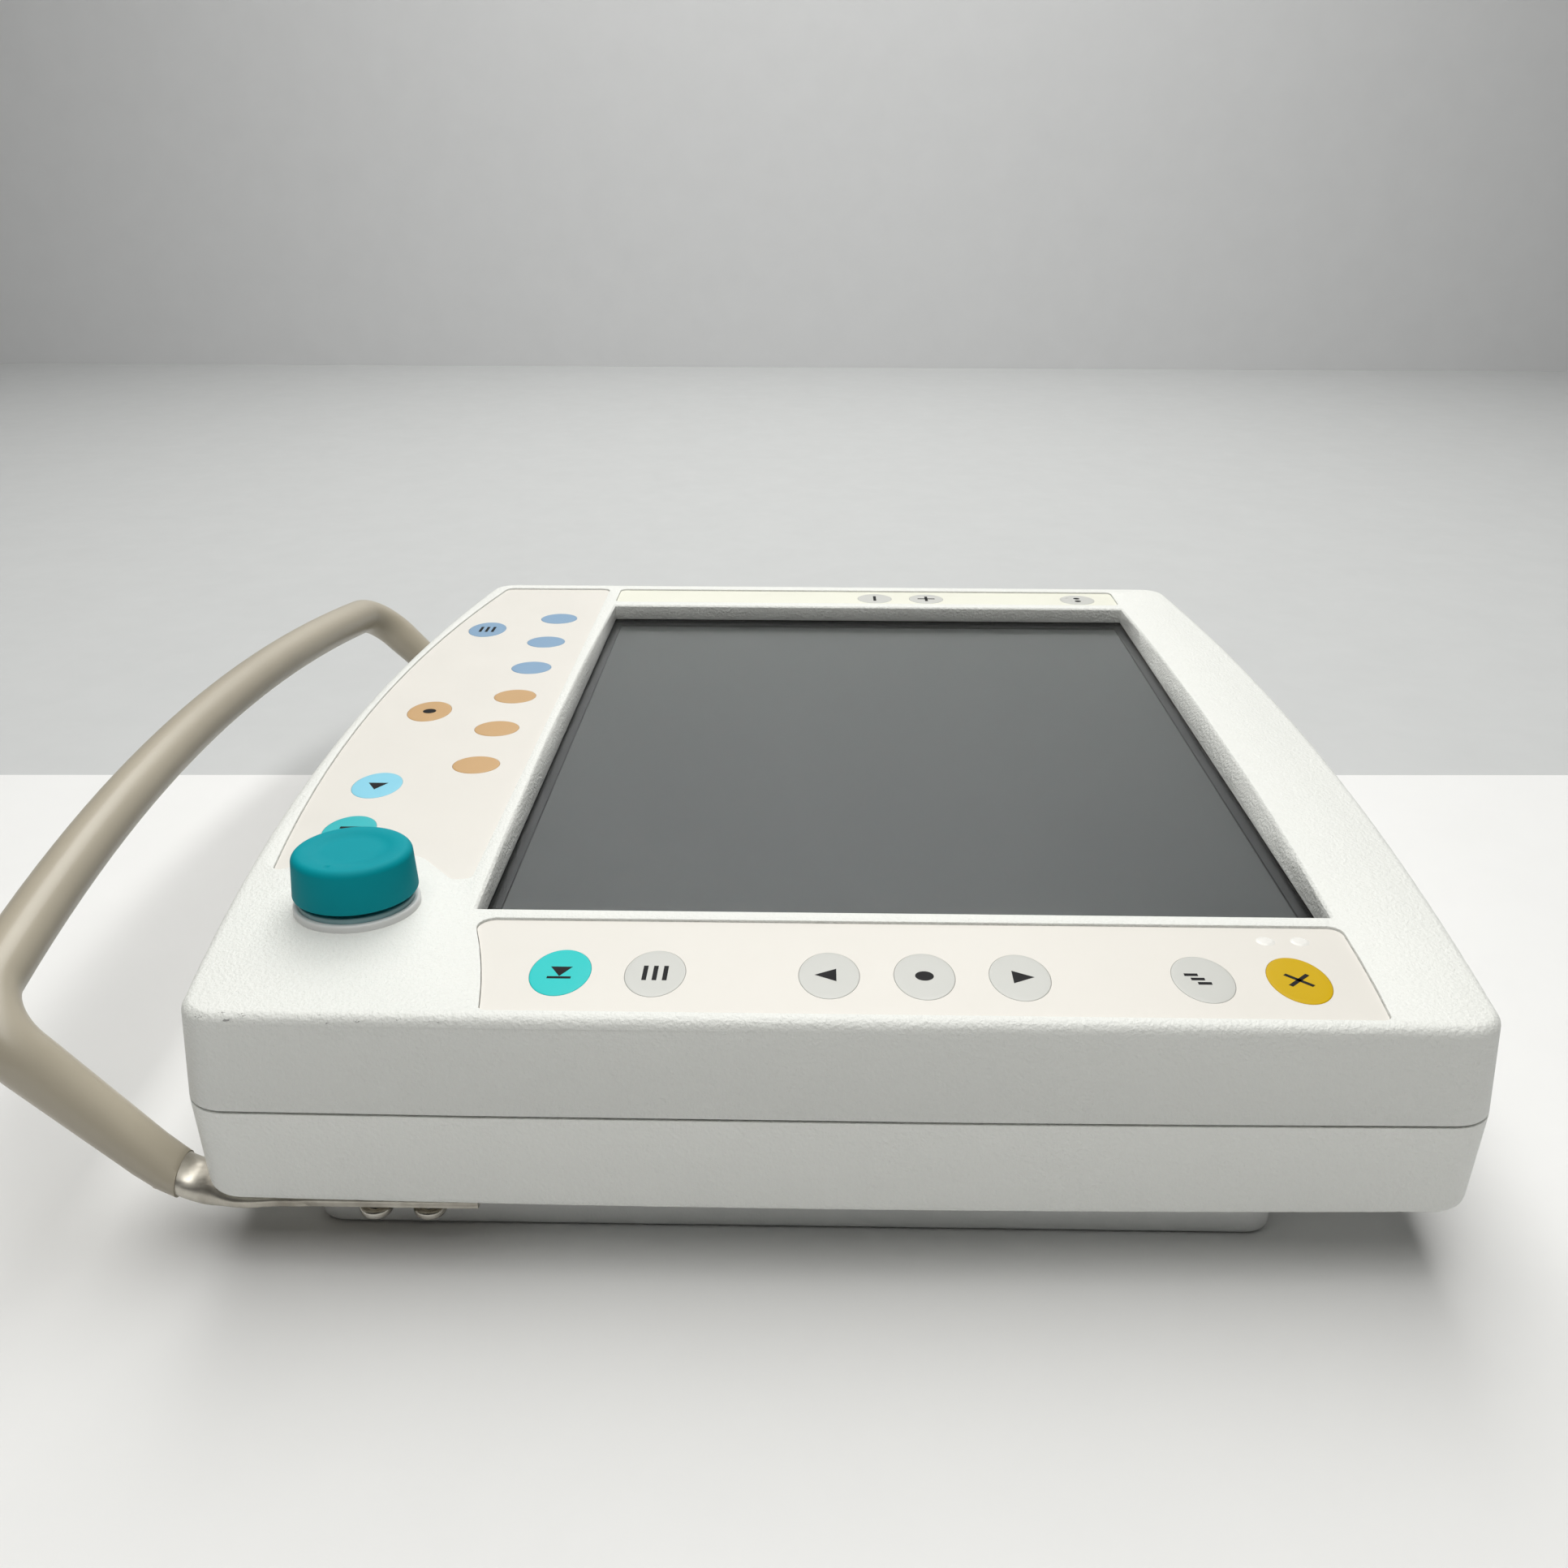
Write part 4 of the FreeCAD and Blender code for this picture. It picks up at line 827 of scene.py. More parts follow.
def from_node(
    node: str, name: str, bevel: float, merge_deg: float = 0.5, smooth_deg: float = 32.0
) -> Piece:
    """Copies a node's mesh, merges it into clean faces and softens its sharp edges.

    Args:
        node: The frame's node.
        name: The new piece's name.
        bevel: Width of the softened edges, or 0.
        merge_deg: Faces that meet at less than this angle become one, or 0 for none.
        smooth_deg: Faces that meet at less than this angle are smooth.

    Returns:
        The new piece.
    """
    take(frame["nodes"][node])
    bpy.ops.object.duplicate()
    piece = named(name)
    bpy.ops.object.parent_clear(type="CLEAR_KEEP_TRANSFORM")
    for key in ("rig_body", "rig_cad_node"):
        if key in piece:
            del piece[key]
    if piece.data.has_custom_normals:
        bpy.ops.mesh.customdata_custom_splitnormals_clear()
    edit(piece)
    bpy.ops.mesh.select_all(action="SELECT")
    bpy.ops.mesh.remove_doubles(threshold=WELD)
    if merge_deg:
        bpy.ops.mesh.dissolve_limited(angle_limit=math.radians(merge_deg))
    bpy.ops.object.mode_set(mode="OBJECT")
    if bevel:
        sharp = math.radians(SHARP_DEG)
        edges = {"limit_method": "ANGLE", "angle_limit": sharp, "use_clamp_overlap": True}
        modify(piece, "BEVEL", width=bevel, segments=2, **edges)
    return smooth(piece, smooth_deg)


def on_axis(point: Vector, middle: Vector) -> bool:
    """Whether a place is on the upright axis through a middle."""
    return (point.xy - middle.xy).length < ON_AXIS


# --- casing
@dataclass
class Casing:
    """Front and rear halves of the casing and the rear block."""

    front_soften: float = 0.45 * MM
    cover_soften: float = 0.5 * MM
    block_soften: float = 0.6 * MM

    def build(self) -> None:
        """Builds the three casing pieces."""
        # The rear shell's and the rear tray's finishes are lighter than the front shell's: painted
        # light.
        for node, name, soften, finish, slot in (
            ("front_bezel", "front_shell", self.front_soften, Finishes.CASING, "casing_paint"),
            ("rear_cover", "rear_shell", self.cover_soften, Finishes.COVER_WITH_PAINTED_BOUNCE, "casing_paint"),
            ("rear_block", "rear_tray", self.block_soften, Finishes.BLOCK, "block_plastic"),
        ):
            dress(from_node(node, name, soften), finish, HOUSING, [node])


# --- keypad
class KeyInk(Enum):
    """Print colours of the keys; each finish has the name of the record's slot."""

    CYAN = Finishes.CYAN
    GREY = Finishes.GREY
    YELLOW = Finishes.YELLOW
    TAN = Finishes.TAN
    BLUE = Finishes.BLUE
    SKY = Finishes.SKY
    TEAL = Finishes.TEAL


class Stroke(Enum):
    """Shapes that a key's sign is drawn with, by their number of sides."""

    BAR = 4
    WEDGE = 3
    DOT = 32


@dataclass(frozen=True)
class Mark:
    """One stroke of a sign, in parts of the key's half size."""

    stroke: Stroke
    half_w: float
    half_h: float
    across: float = 0.0
    up: float = 0.0
    turn: float = 0.0


class Sign(Enum):
    """Plain signs of the keys, each a few strokes."""

    BARE = ()
    PLAY = (Mark(Stroke.WEDGE, 0.34, 0.34, turn=-90.0),)
    PAUSE = tuple(Mark(Stroke.BAR, 0.07, 0.3, across=x) for x in (-0.16, 0.16))
    UP = (Mark(Stroke.WEDGE, 0.34, 0.34),)
    DOWN = (Mark(Stroke.WEDGE, 0.34, 0.34, turn=180.0),)
    LIST = tuple(Mark(Stroke.BAR, 0.34, 0.055, up=0.24 * i) for i in (-1, 0, 1))
    PLUS = (Mark(Stroke.BAR, 0.36, 0.06), Mark(Stroke.BAR, 0.06, 0.36))
    MINUS = (Mark(Stroke.BAR, 0.36, 0.06),)
    DOT = (Mark(Stroke.DOT, 0.22, 0.22),)
    STEPS = tuple(Mark(Stroke.BAR, 0.06, 0.16, 0.2 * i, -0.12 + 0.12 * i) for i in (-1, 0, 1))
    SKIP = (Mark(Stroke.WEDGE, 0.3, 0.3, -0.1, turn=-90.0), Mark(Stroke.BAR, 0.05, 0.28, 0.26))
    CROSS = tuple(Mark(Stroke.BAR, 0.38, 0.055, turn=turn) for turn in (45.0, -45.0))
    PAIR = tuple(Mark(Stroke.DOT, 0.13, 0.13, across=x) for x in (-0.2, 0.2))


KEYS: dict[str, tuple[KeyInk, Sign]] = {
    "right_1": (KeyInk.CYAN, Sign.SKIP),
    "right_2": (KeyInk.GREY, Sign.LIST),
    "right_3": (KeyInk.GREY, Sign.DOWN),
    "right_4": (KeyInk.GREY, Sign.DOT),
    "right_5": (KeyInk.GREY, Sign.UP),
    "right_6": (KeyInk.GREY, Sign.STEPS),
    "right_7": (KeyInk.YELLOW, Sign.CROSS),
    "left_1": (KeyInk.GREY, Sign.MINUS),
    "left_2": (KeyInk.GREY, Sign.PLUS),
    "left_3": (KeyInk.GREY, Sign.PAIR),
    **{f"bottom_{i}": (KeyInk.TAN, Sign.BARE) for i in (1, 2, 3)},
    **{f"bottom_{i}": (KeyInk.BLUE, Sign.BARE) for i in (4, 5, 6)},
    "bottom_7": (KeyInk.TEAL, Sign.PAUSE),
    "bottom_8": (KeyInk.SKY, Sign.PLAY),
    "bottom_9": (KeyInk.TAN, Sign.DOT),
    "bottom_10": (KeyInk.BLUE, Sign.LIST),
}


@dataclass
class Keypad:
    """Three overlays and their twenty keys."""

    film_smooth: float = 4.0
    cap_sides: int = 72
    grow: float = 0.05 * MM
    rim: float = 0.28 * MM
    crown: float = 0.03 * MM
    crown_steps: tuple[tuple[float, float], ...] = ((0.86, 0.4), (0.72, 0.3), (0.5, 0.2), (0.3, 0.1))
    print_t: float = 0.03 * MM
    sign_scale: float = 1.4

    def overlays(self) -> None:
        """Copies and dresses the three printed films."""
        for strip in ("right", "bottom", "left"):
            node = f"overlay_{strip}"
            piece = from_node(node, f"film_{strip}", 0.0, 0.0, self.film_smooth)
            finish = Finishes.OVERLAY_AGED if strip == "left" else Finishes.OVERLAY
            dress(piece, finish, HOUSING, [node])

    def cap(self, name: str) -> Piece:
        """Models one key: an oval film cap with a bevelled rim and a low crown.

        Args:
            name: The key's name.

        Returns:
            The key's piece.
        """
        low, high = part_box(f"key_{name}")
        middle = (low + high) * 0.5
        half = (high - low) * 0.5
        oval = (half.x + self.grow, half.y + self.grow, 1.0)
        piece = drum(f"cap_{name}", middle, 1.0, 2.0 * half.z, self.cap_sides, oval)
        bevel_level(piece, high.z, self.rim, segments=3, profile=0.6)
        for shrink, lift in self.crown_steps:
            pick(piece, Pick.FACE, lambda m, n: n.z > FLAT and on_axis(m, middle))
            rise = (0.0, 0.0, lift * self.crown)
            bpy.ops.mesh.extrude_region_move(TRANSFORM_OT_translate={"value": rise})
            bpy.ops.transform.resize(value=(shrink, shrink, 1.0), center_override=middle)
        return smooth(piece, smooth_deg=40.0)

    def sign(self, name: str, marks: tuple[Mark, ...]) -> Piece:
        """Models a key's printed sign as thin strokes on its top.

        Args:
            name: The key's name.
            marks: The strokes.

        Returns:
            The joined strokes.
        """
        low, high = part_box(f"key_{name}")
        middle = (low + high) * 0.5
        unit = self.sign_scale * 0.5 * min(high.x - low.x, high.y - low.y)
        top = high.z + self.crown + 0.5 * self.print_t
        pieces = []
        for mark in marks:
            square = mark.stroke is Stroke.BAR
            clear()
            bpy.ops.mesh.primitive_cylinder_add(
                vertices=mark.stroke.value,
                radius=math.sqrt(2.0) if square else 1.0,
                depth=self.print_t,
                rotation=(0.0, 0.0, math.pi / 4 if square else 0.0),
            )
            piece = made("stroke")
            piece.scale = (mark.half_w * unit, mark.half_h * unit, 1.0)
            piece.rotation_euler = (0.0, 0.0, math.radians(mark.turn))
            piece.location = (middle.x + mark.across * unit, middle.y + mark.up * unit, top)
            settle()
            pieces.append(piece)
        return smooth(join(pieces, f"sign_{name}"), smooth_deg=30.0)

    def build(self) -> None:
        """Builds the overlays and every key."""
        self.overlays()
        for name in sorted(KEYS):
            ink, sign = KEYS[name]
            body, slot = f"key_{name}", ink.value.name
            dress(self.cap(name), ink.value, body, [body])
            if sign is not Sign.BARE:
                dress(self.sign(name, sign.value), Finishes.PRINT, body, [])


# --- knob
@dataclass
class Knob:
    """Turn-and-push knob and the collar under it."""

    segments: int = 128
    smooth_deg: float = 35.0
    taper: float = 0.8 * MM
    rim: float = 2.0 * MM
    dish_r: float = 10.8 * MM
    dish_wall: float = 0.7 * MM
    dish_depth: float = 0.4 * MM
    dish_floor: float = 3.0 * MM
    dish_sag: float = 0.06 * MM
    bore_r: float = 14.8 * MM
    bore_draft: float = 0.01 * MM
    bore_depth: float = 6.0 * MM
    foot_round: float = 0.4 * MM
    mark: Vector = field(default_factory=lambda: Vector((12.1, -3.3, 1.75)) * MM)
    mark_r: float = 2.0 * MM
    mark_sides: int = 48
    collar_h: float = 2.0 * MM
    collar_bore: float = 10.1 * MM
    collar_round: float = 0.3
    drum_r: float = 15.65 * MM
    drum_sunk: float = 0.05 * MM

    def dimple(self, top: Vector) -> Piece:
        """Makes the ball that presses the pointing mark into the top.

        Args:
            top: Middle of the knob's top.

        Returns:
            The ball.
        """
        clear()
        bpy.ops.mesh.primitive_uv_sphere_add(
            segments=self.mark_sides,
            ring_count=self.mark_sides,
            radius=self.mark_r,
            location=top + self.mark,
        )
        return made("mark_tool")

    def cap(self) -> Piece:
        """Models the knob: tapered skirt, rounded rim, shallow dish, mark and hollow foot.

        Returns:
            The knob.
        """
        low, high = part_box("knob")
        middle = (low + high) * 0.5
        radius = (high.x - low.x) * 0.5
        clear()
        bpy.ops.mesh.primitive_cone_add(
            vertices=self.segments,
            radius1=radius,
            radius2=radius - self.taper,
            depth=high.z - low.z,
            location=middle,
        )
        piece = made("knob_cap")
        edit(piece)
        bevel_level(piece, high.z, self.rim, segments=8)
        pick(piece, Pick.FACE, lambda m, n: n.z > FLAT and on_axis(m, middle))
        top_r = radius - self.taper - self.rim
        for thickness, depth in (
            (top_r - self.dish_r, 0.0),
            (self.dish_wall, -self.dish_depth),
            (self.dish_floor, -self.dish_sag),
        ):
            bpy.ops.mesh.inset(thickness=thickness, depth=depth)
        pick(piece, Pick.FACE, lambda m, n: n.z < -FLAT and on_axis(m, middle))
        bpy.ops.mesh.inset(thickness=radius - self.bore_r, depth=0.0)
        bpy.ops.mesh.inset(thickness=self.bore_draft, depth=-self.bore_depth)
        bevel_level(piece, low.z, self.foot_round, segments=3)
        bpy.ops.object.mode_set(mode="OBJECT")
        carve(piece, self.dimple(Vector((middle.x, middle.y, high.z))))
        return smooth(piece, self.smooth_deg)

    def ring(self, name: str, base: float, height: float, radius: float) -> Piece:
        """Models one step of the collar: a ring with a rounded upper edge.

        Args:
            name: The piece's name.
            base: Height of its foot.
            height: Its height.
            radius: Its outer radius.

        Returns:
            The ring.
        """
        low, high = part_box("knob_collar")
        middle = (low + high) * 0.5
        middle.z = base + 0.5 * height
        top = base + 0.9 * height  # only the upper edges lie above it
        rim_r = radius - 0.1 * MM  # and of those only the outer one lies beyond it
        piece = drum(name, middle, radius, height, self.segments)
        pick(piece, Pick.FACE, lambda m, n: abs(n.z) > FLAT)
        bpy.ops.mesh.inset(thickness=radius - self.collar_bore, depth=0.0)
        bpy.ops.mesh.bridge_edge_loops()
        pick(
            piece,
            Pick.EDGE,
            lambda m, d: m.z > top and abs(d.z) < LEVEL and (m.xy - middle.xy).length > rim_r,
        )
        bpy.ops.mesh.bevel(offset=self.collar_round * height, segments=4, profile=0.5)
        outward(piece)
        return smooth(piece, self.smooth_deg)

    def build(self) -> None:
        """Builds the knob and its two-step collar."""
        low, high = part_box("knob_collar")
        radius = (high.x - low.x) * 0.5
        shoulder = low.z + self.collar_h
        ring = self.ring("collar_ring", low.z, self.collar_h, radius)
        riser = self.ring("collar_drum", shoulder - self.drum_sunk, high.z - shoulder, self.drum_r)
        dress(self.cap(), Finishes.KNOB, "knob", ["knob"])
        dress(ring, Finishes.COLLAR, HOUSING, ["knob_collar"])
        # The riser's finish carries a painted reflection of the knob's teal.
        dress(riser, Finishes.RISER_WITH_PAINTED_REFLECTION, HOUSING, [])


# --- handle
@dataclass
class Handle:
    """Sleeved tube handle, its strap ends and their screws."""

    sides: int = 56
    half: float = 188.46 * MM
    corner_y: float = -208.4 * MM
    corner_z: float = 66.8 * MM
    bow: float = 15.9 * MM
    bend_r: float = 19.6 * MM
    bend_steps: int = 16
    grip_steps: int = 14
    slope: float = 45.57
    leg_round: float = 18.0 * MM
    leg_straight: float = 56.9 * MM
    leg_hoops: int = 8
    hoop_gap: float = 6.4 * MM
    foot_r: float = 30.0 * MM
    foot_slope: float = 20.0
    foot_drift: float = 0.022
    sleeve_r: float = 7.73 * MM
    foot_half_w: float = 7.33 * MM
    foot_half_t: float = 5.08 * MM
    sleeve_end: Vector = field(default_factory=lambda: Vector((188.68, -160.7, 20.3)) * MM)
    end_slope: float = 8.0
    end_swell: float = 1.06
    end_wall: float = 0.5 * MM
    end_lip: float = 0.1 * MM
    sleeve_depth: float = 6.0 * MM
    seam: float = 0.02 * MM
    screw_ys: tuple[float, float] = (-109.6 * MM, -95.4 * MM)
    screw_sides: int = 48
    screw_gap: float = 0.05 * MM
    head_gap: float = 0.01 * MM
    dome_r: float = 4.45 * MM
    dome_h: float = 3.4 * MM
    dome_share: float = 0.68
    seat_round: float = 0.9 * MM
    shank_r: float = 2.0 * MM
    slot: Triple = (0.45, 0.16, 0.55)

    def leg_point(self, across: float, along: float) -> Vector:
        """Point in the grip's plane: across the casing and down along the legs."""
        slope = math.radians(self.slope)
        ahead, down = along * math.cos(slope), along * math.sin(slope)
        return Vector((across, self.corner_y + ahead, self.corner_z - down))

    def foot_place(self, along: float) -> tuple[Vector, float]:
        """Finds the centre line of the right-hand leg and its foot bend.

        Args:
            along: Distance along the leg from the grip's corner.

        Returns:
            The place and the slope there in degrees.
        """
        over = along - self.leg_straight
        if over <= 0.0:
            return self.leg_point(self.half, along), self.slope
        start = self.leg_point(self.half + self.foot_drift * over, self.leg_straight)
        slope = self.slope - math.degrees(over / self.foot_r)
        leg, here = math.radians(self.slope), math.radians(slope)
        ahead = self.foot_r * (math.sin(leg) - math.sin(here))
        down = self.foot_r * (math.cos(here) - math.cos(leg))
        return start + Vector((0.0, ahead, -down)), slope

    def hoop(self, centre: Vector, half_w: float, half_t: float, slope: float) -> None:
        """Adds an oval hoop of edges across the tube, in edit mode.

        Args:
            centre: Its centre.
            half_w: Half its width along X.
            half_t: Half its thickness.
            slope: Slope of the tube there in degrees.
        """
        bpy.ops.mesh.primitive_circle_add(
            vertices=self.sides, radius=1.0, location=centre, rotation=(math.pi / 2, 0.0, 0.0)
        )
        bpy.ops.transform.resize(value=(half_w, 1.0, half_t), center_override=centre)
        bpy.ops.transform.rotate(value=math.radians(slope), orient_axis="X", center_override=centre)

    def pick_hoop(self, piece: Piece, centre: Vector, slope: float) -> None:
        """Selects the edges of a hoop.

        Args:
            piece: The sleeve in edit mode.
            centre: The hoop's centre.
            slope: Its slope in degrees.
        """
        slope = math.radians(slope)
        way = Vector((0.0, math.cos(slope), -math.sin(slope)))
        reach = 2.0 * self.sleeve_r
        near, square = 0.01 * MM, 0.01
        pick(
            piece,
            Pick.EDGE,
            lambda m, d: abs((m - centre).dot(way)) < near
            and abs(d.dot(way)) < square
            and (m - centre).length < reach,
        )

    def leg(self, top: Vector) -> Piece:
        """Models the right-hand leg and its foot from hoops, open at the top.

        Args:
            top: Centre of the leg's top.

        Returns:
            The leg, in edit mode.
        """
        foot_length = self.leg_straight + self.foot_r * math.radians(self.slope - self.foot_slope)
        clear()
        bpy.ops.mesh.primitive_circle_add(
            vertices=self.sides, radius=self.sleeve_r, rotation=(math.pi / 2, 0.0, 0.0)
        )
        piece = made("grip_sleeve")
        edit(piece)
        bpy.ops.mesh.select_all(action="SELECT")
        bpy.ops.transform.rotate(
            value=math.radians(self.slope), orient_axis="X", center_override=(0.0, 0.0, 0.0)
        )
        bpy.ops.transform.translate(value=top)
        for i in range(self.leg_hoops):
            along = self.leg_round + i * self.hoop_gap
            share = (along - self.leg_round) / (foot_length - self.leg_round)
            half_w = self.sleeve_r + (self.foot_half_w - self.sleeve_r) * share
            half_t = self.sleeve_r + (self.foot_half_t - self.sleeve_r) * share
            centre, slope = self.foot_place(along)
            self.hoop(centre, half_w, half_t, slope)
        self.hoop(self.sleeve_end, self.foot_half_w, self.end_swell * self.foot_half_t, self.end_slope)
        bpy.ops.mesh.select_all(action="SELECT")
        bpy.ops.mesh.bridge_edge_loops()
        return piece

    def open_end(self, piece: Piece) -> None:
        """Turns the sleeve's lip inwards and closes it deep inside, round the tube.

        Args:
            piece: The sleeve in edit mode.
        """
        self.pick_hoop(piece, self.sleeve_end, self.end_slope)
        inner = 1.0 - self.end_wall / self.foot_half_t
        half_way = 0.5 * (1.0 + inner)
        leg = math.radians(self.foot_slope)
        back = Vector((0.0, -math.cos(leg), math.sin(leg))) * self.sleeve_depth
        out = Vector((0.0, self.end_lip, 0.0))
        for shrink, shift in ((half_way, out), (inner / half_way, -out), (1.0, back)):
            bpy.ops.mesh.extrude_region_move(TRANSFORM_OT_translate={"value": shift})
            bpy.ops.transform.resize(value=(shrink,) * 3, center_override=self.sleeve_end)
        bpy.ops.mesh.edge_face_add()

    def sleeve(self) -> Piece:
        """Models the sleeve: one leg, then the bend and half the grip spun, then mirrored.

        Returns:
            The sleeve.
        """
        grip_r = (self.half**2 + self.bow**2) / (2.0 * self.bow)
        grip_along = grip_r - self.bow
        bend_x = self.half - self.bend_r
        turn = math.asin(bend_x / (grip_r - self.bend_r))
        bend_along = grip_along - (grip_r - self.bend_r) * math.cos(turn)
        top = self.leg_point(self.half, bend_along)
        piece = self.leg(top)
        self.open_end(piece)
        self.pick_hoop(piece, top, self.slope)
        leg = math.radians(self.slope)
        axis = (0.0, math.sin(leg), math.cos(leg))
        for steps, angle, centre in (
            (self.bend_steps, math.pi / 2 - turn, self.leg_point(bend_x, bend_along)),
            (self.grip_steps, turn, self.leg_point(0.0, grip_along)),
        ):
            bpy.ops.mesh.spin(steps=steps, angle=angle, center=centre, axis=axis)
        bpy.ops.object.mode_set(mode="OBJECT")
        modify(piece, "MIRROR", use_clip=True, merge_threshold=self.seam)
        outward(piece)
        return smooth(piece, smooth_deg=40.0)

    def screw(self, place: Vector, top: float) -> Piece:
        """Models one dome-headed screw that hangs from its spacer.

        Args:
            place: Middle of the head.
            top: Height of the shank's end.

        Returns:
            The screw.
        """
        piece = drum("strap_screw", place, self.dome_r, self.dome_h, self.screw_sides)
        seat = place.z + 0.5 * self.dome_h
        low = place.z - 0.5 * self.dome_h
        bevel_level(piece, low, self.dome_share * self.dome_h, segments=7)
        bevel_level(piece, seat, self.seat_round, segments=4)
        pick(piece, Pick.FACE, lambda m, n: n.z > FLAT and abs(m.z - seat) < HAIR)
        bpy.ops.mesh.inset(thickness=self.dome_r - self.seat_round - self.shank_r, depth=0.0)
        bpy.ops.mesh.extrude_region_move(TRANSFORM_OT_translate={"value": (0.0, 0.0, top - seat)})
        bpy.ops.object.mode_set(mode="OBJECT")
        long, wide, deep = self.slot
        for half_x, half_y in ((long, wide), (wide, long)):
            clear()
            bpy.ops.mesh.primitive_cube_add(size=2.0, location=(place.x, place.y, low))
            scale = (half_x * self.dome_r, half_y * self.dome_r, deep * self.dome_h)
            carve(piece, made("slot_tool", scale))
        return piece

    def screws(self) -> Piece:
        """Models one strap screw and copies it to its four places.

        Returns:
            The four screws.
        """
        low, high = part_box("handle_screws")
        x = high.x - self.dome_r - self.screw_gap
        first = Vector((x, self.screw_ys[0], low.z + 0.5 * self.dome_h + self.head_gap))
        pieces = [self.screw(first, high.z)]
        for side in (1, -1):
            for y in self.screw_ys:
                step = Vector((side * x, y, first.z)) - first
                if step.length:
                    pieces.append(copy_to(pieces[0], step))
        return smooth(join(pieces, "strap_screws"), smooth_deg=35.0)

    def build(self) -> None:
        """Builds the tube, the sleeve and the screws."""
        tube = from_node("handle_tube", "tube_and_straps", 0.0)
        dress(tube, Finishes.HANDLE_METAL, HOUSING, ["handle_tube"])
        dress(self.sleeve(), Finishes.SLEEVE, HOUSING, ["handle_sleeve"])
        dress(self.screws(), Finishes.NICKEL, HOUSING, ["handle_screws"])


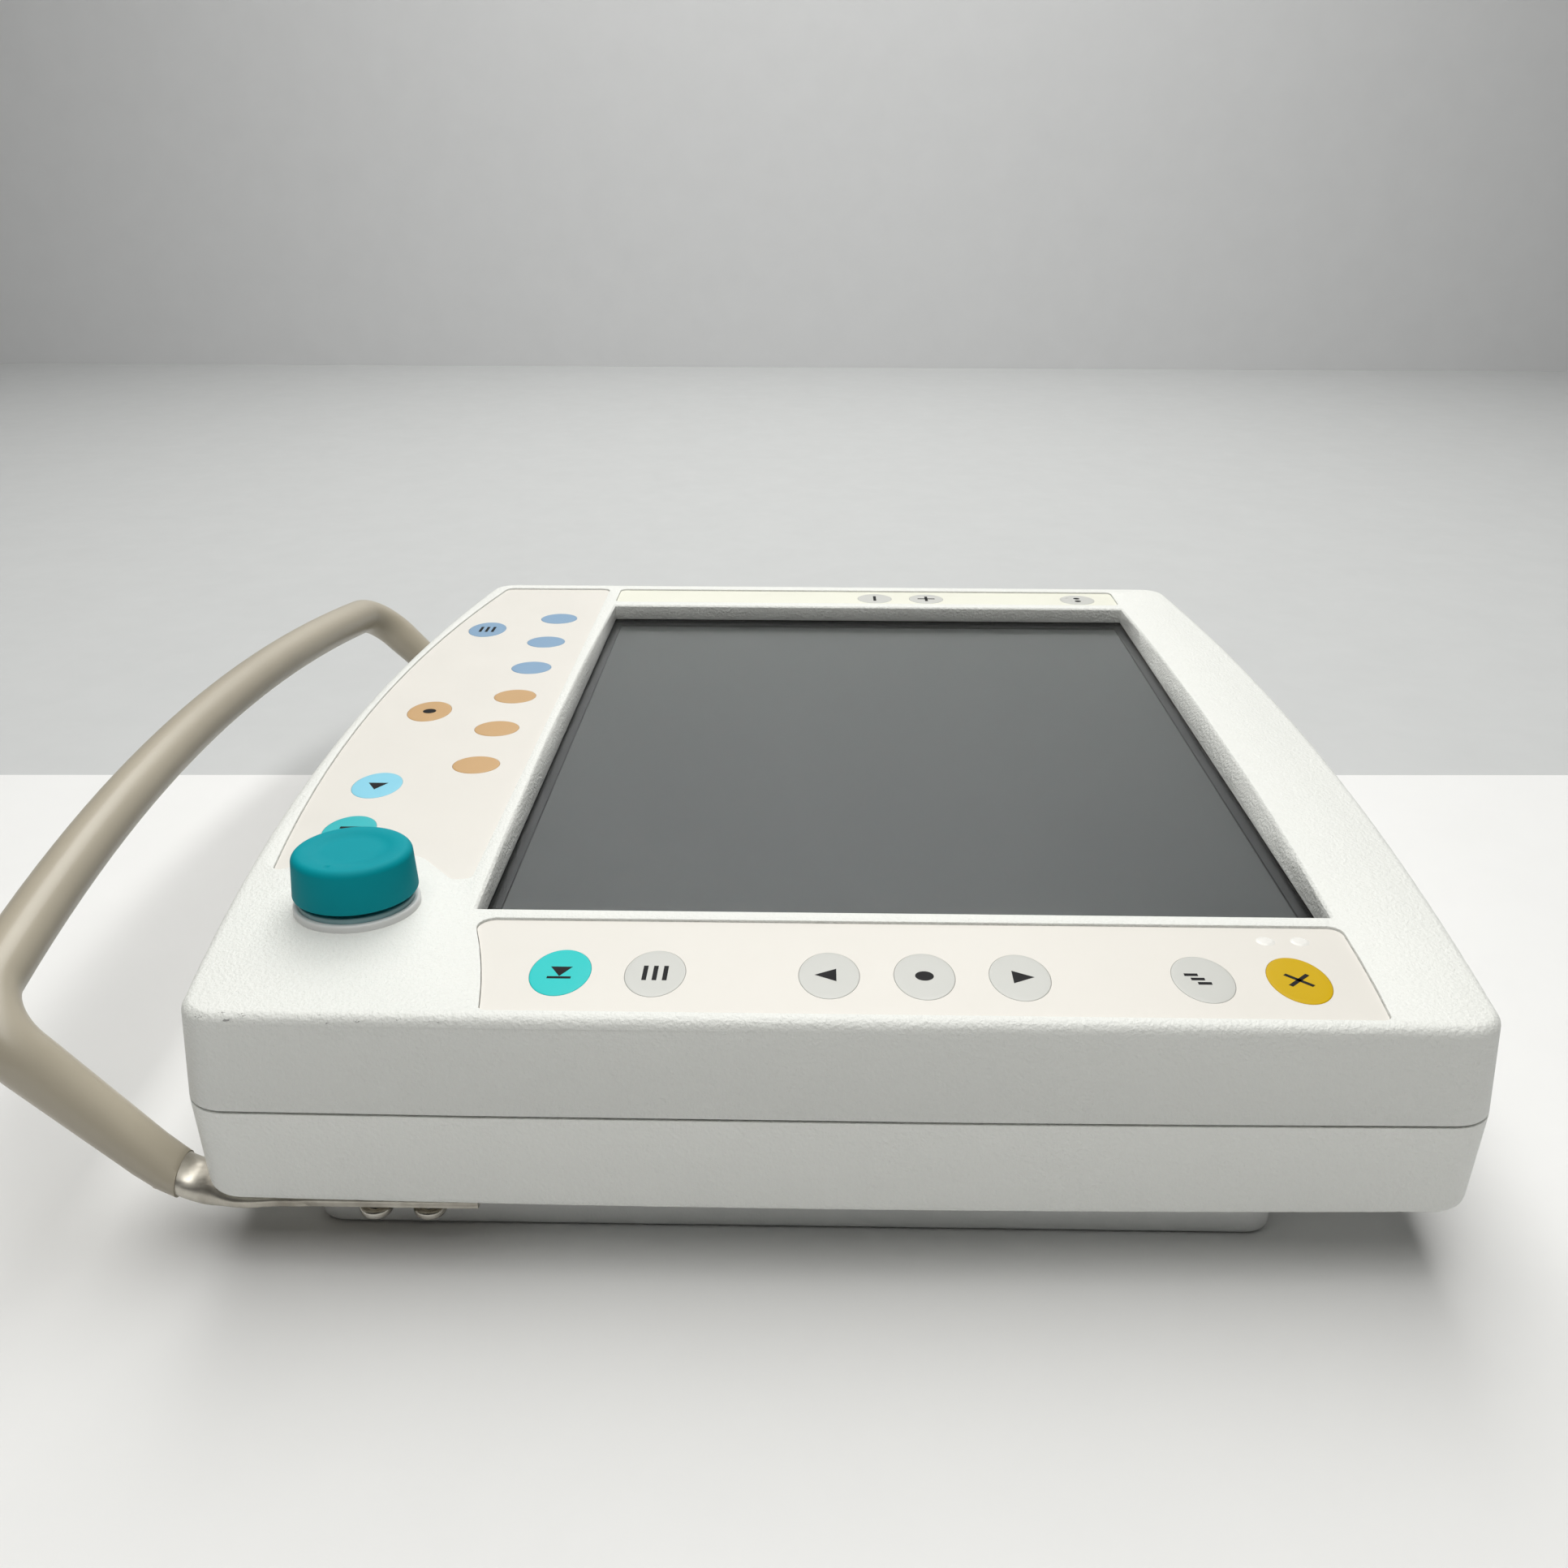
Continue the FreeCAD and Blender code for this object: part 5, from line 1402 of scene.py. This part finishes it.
# --- studio
@dataclass
class Studio:
    """Floor, backdrop, soft light and camera."""

    eye: Vector = field(default_factory=lambda: Vector((0.51738, 0.00396, 0.26729)))
    yaw: float = math.radians(0.947)
    pitch: float = math.radians(22.249)
    roll: float = math.radians(0.18)
    lens: float = 34.825
    sensor: float = 36.0
    shift: tuple[float, float] = (-0.00308, 0.00035)
    near: float = 0.01
    wall_x: float = -1.7
    cloth_x: float = -0.148
    cloth_turn: float = math.radians(1.4)
    extent: float = 8.0
    cloth: Film = Film("floor_cloth", (0.80, 0.80, 0.80), (0.775, 0.775, 0.775), 0.8, 900.0)
    table: Film = Film("table_top", (0.56, 0.57, 0.575), (0.53, 0.54, 0.545), 0.8, 900.0)
    paper: Film = Film("wall_paper", (0.82, 0.825, 0.835), (0.78, 0.785, 0.795), 0.9, 300.0)
    sky: float = 0.015
    sky_colour: Colour = (1.0, 1.0, 0.98)
    watts: float = 66.0
    warm: Colour = (1.0, 0.995, 0.965)
    lamp_size: tuple[float, float] = (1.2, 4.5)
    lamp_place: Vector = field(default_factory=lambda: Vector((-0.35, 0.0, 1.6)))
    lamp_target: Vector = field(default_factory=lambda: Vector((0.0, 0.0, 0.04)))

    def camera(self) -> None:
        """Adds the camera and makes it the scene's."""
        level = math.cos(self.pitch)
        down = math.sin(self.pitch)
        ahead = Vector((-level * math.cos(self.yaw), -level * math.sin(self.yaw), -down))
        across = ahead.cross(Vector((0, 0, 1))).normalized()
        up = across.cross(ahead)
        right = across * math.cos(self.roll) + up * math.sin(self.roll)
        top = up * math.cos(self.roll) - across * math.sin(self.roll)
        data = bpy.data.cameras.new("camera")
        data.lens = self.lens
        data.sensor_width = self.sensor
        data.shift_x, data.shift_y = self.shift
        data.clip_start = self.near
        camera = bpy.data.objects.new("camera", data)
        bpy.context.scene.collection.objects.link(camera)
        axes = Matrix((right, top, -ahead)).transposed()
        camera.matrix_world = Matrix.Translation(self.eye) @ axes.to_4x4()
        bpy.context.scene.camera = camera

    def sheet(self, name: str, finish: Film, middle: Vector, turn: Triple) -> Piece:
        """Adds one flat square of the surroundings.

        Args:
            name: Its name.
            finish: Its finish.
            middle: Its centre.
            turn: Its rotation.

        Returns:
            The square.
        """
        clear()
        bpy.ops.mesh.primitive_plane_add(size=self.extent, location=middle, rotation=turn)
        piece = named(name)
        piece.data.materials.append(finish.material())
        return piece

    def ground(self) -> None:
        """Adds the pale cloth, the greyer table beyond it and the wall behind."""
        half = 0.5 * self.extent
        along = Vector((math.cos(self.cloth_turn), math.sin(self.cloth_turn), 0.0)) * half
        edge = Vector((self.cloth_x, 0.0, 0.0))
        flat = (0.0, 0.0, self.cloth_turn)
        cloth = self.sheet("floor", self.cloth, edge + along, flat)
        table = self.sheet("table", self.table, edge - along, flat)
        upright = (0.0, math.pi / 2, 0.0)
        wall = self.sheet("wall", self.paper, Vector((self.wall_x, 0.0, 0.0)), upright)

    def world(self) -> None:
        """Adds the world's faint even light."""
        world = bpy.data.worlds.new("studio")
        world.use_nodes = True
        given = {"Color": self.sky_colour, "Strength": self.sky}
        Tree(world.node_tree).feed(world.node_tree.nodes["Background"], given)
        bpy.context.scene.world = world

    def softbox(self) -> None:
        """Adds the long area light overhead."""
        data = bpy.data.lights.new("key", "AREA")
        data.shape = "RECTANGLE"
        data.size, data.size_y = self.lamp_size
        data.energy = self.watts
        data.color = self.warm
        lamp = bpy.data.objects.new("key", data)
        bpy.context.scene.collection.objects.link(lamp)
        lamp.location = self.lamp_place
        lamp.rotation_mode = "QUATERNION"
        lamp.rotation_quaternion = (self.lamp_target - self.lamp_place).to_track_quat("-Z", "Y")
        LOG.info("light %s: %.0f W", lamp.name, self.watts)

    def build(self) -> None:
        """Builds the whole studio."""
        bpy.context.scene.view_settings.view_transform = "Standard"
        self.camera()
        self.ground()
        self.world()
        self.softbox()


# --- main
def dress_nodes() -> None:
    """Gives each node that stays its finish."""
    for finish, names in NODES_KEPT:
        for name in names.split():
            node = frame["nodes"][name]
            node.data.materials.clear()
            node.data.materials.append(finish.material())
            LOG.info("%s: %s", name, finish.name)


def main() -> None:
    """Builds the studio and every sub-assembly."""
    logging.basicConfig(level=logging.INFO, format="%(name)s %(message)s")
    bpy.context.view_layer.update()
    Studio().build()
    dress_nodes()
    for part in (Casing(), Keypad(), Knob(), Handle()):
        part.build()
        LOG.info("built %s", type(part).__name__)


if __name__ == "__main__":
    main()
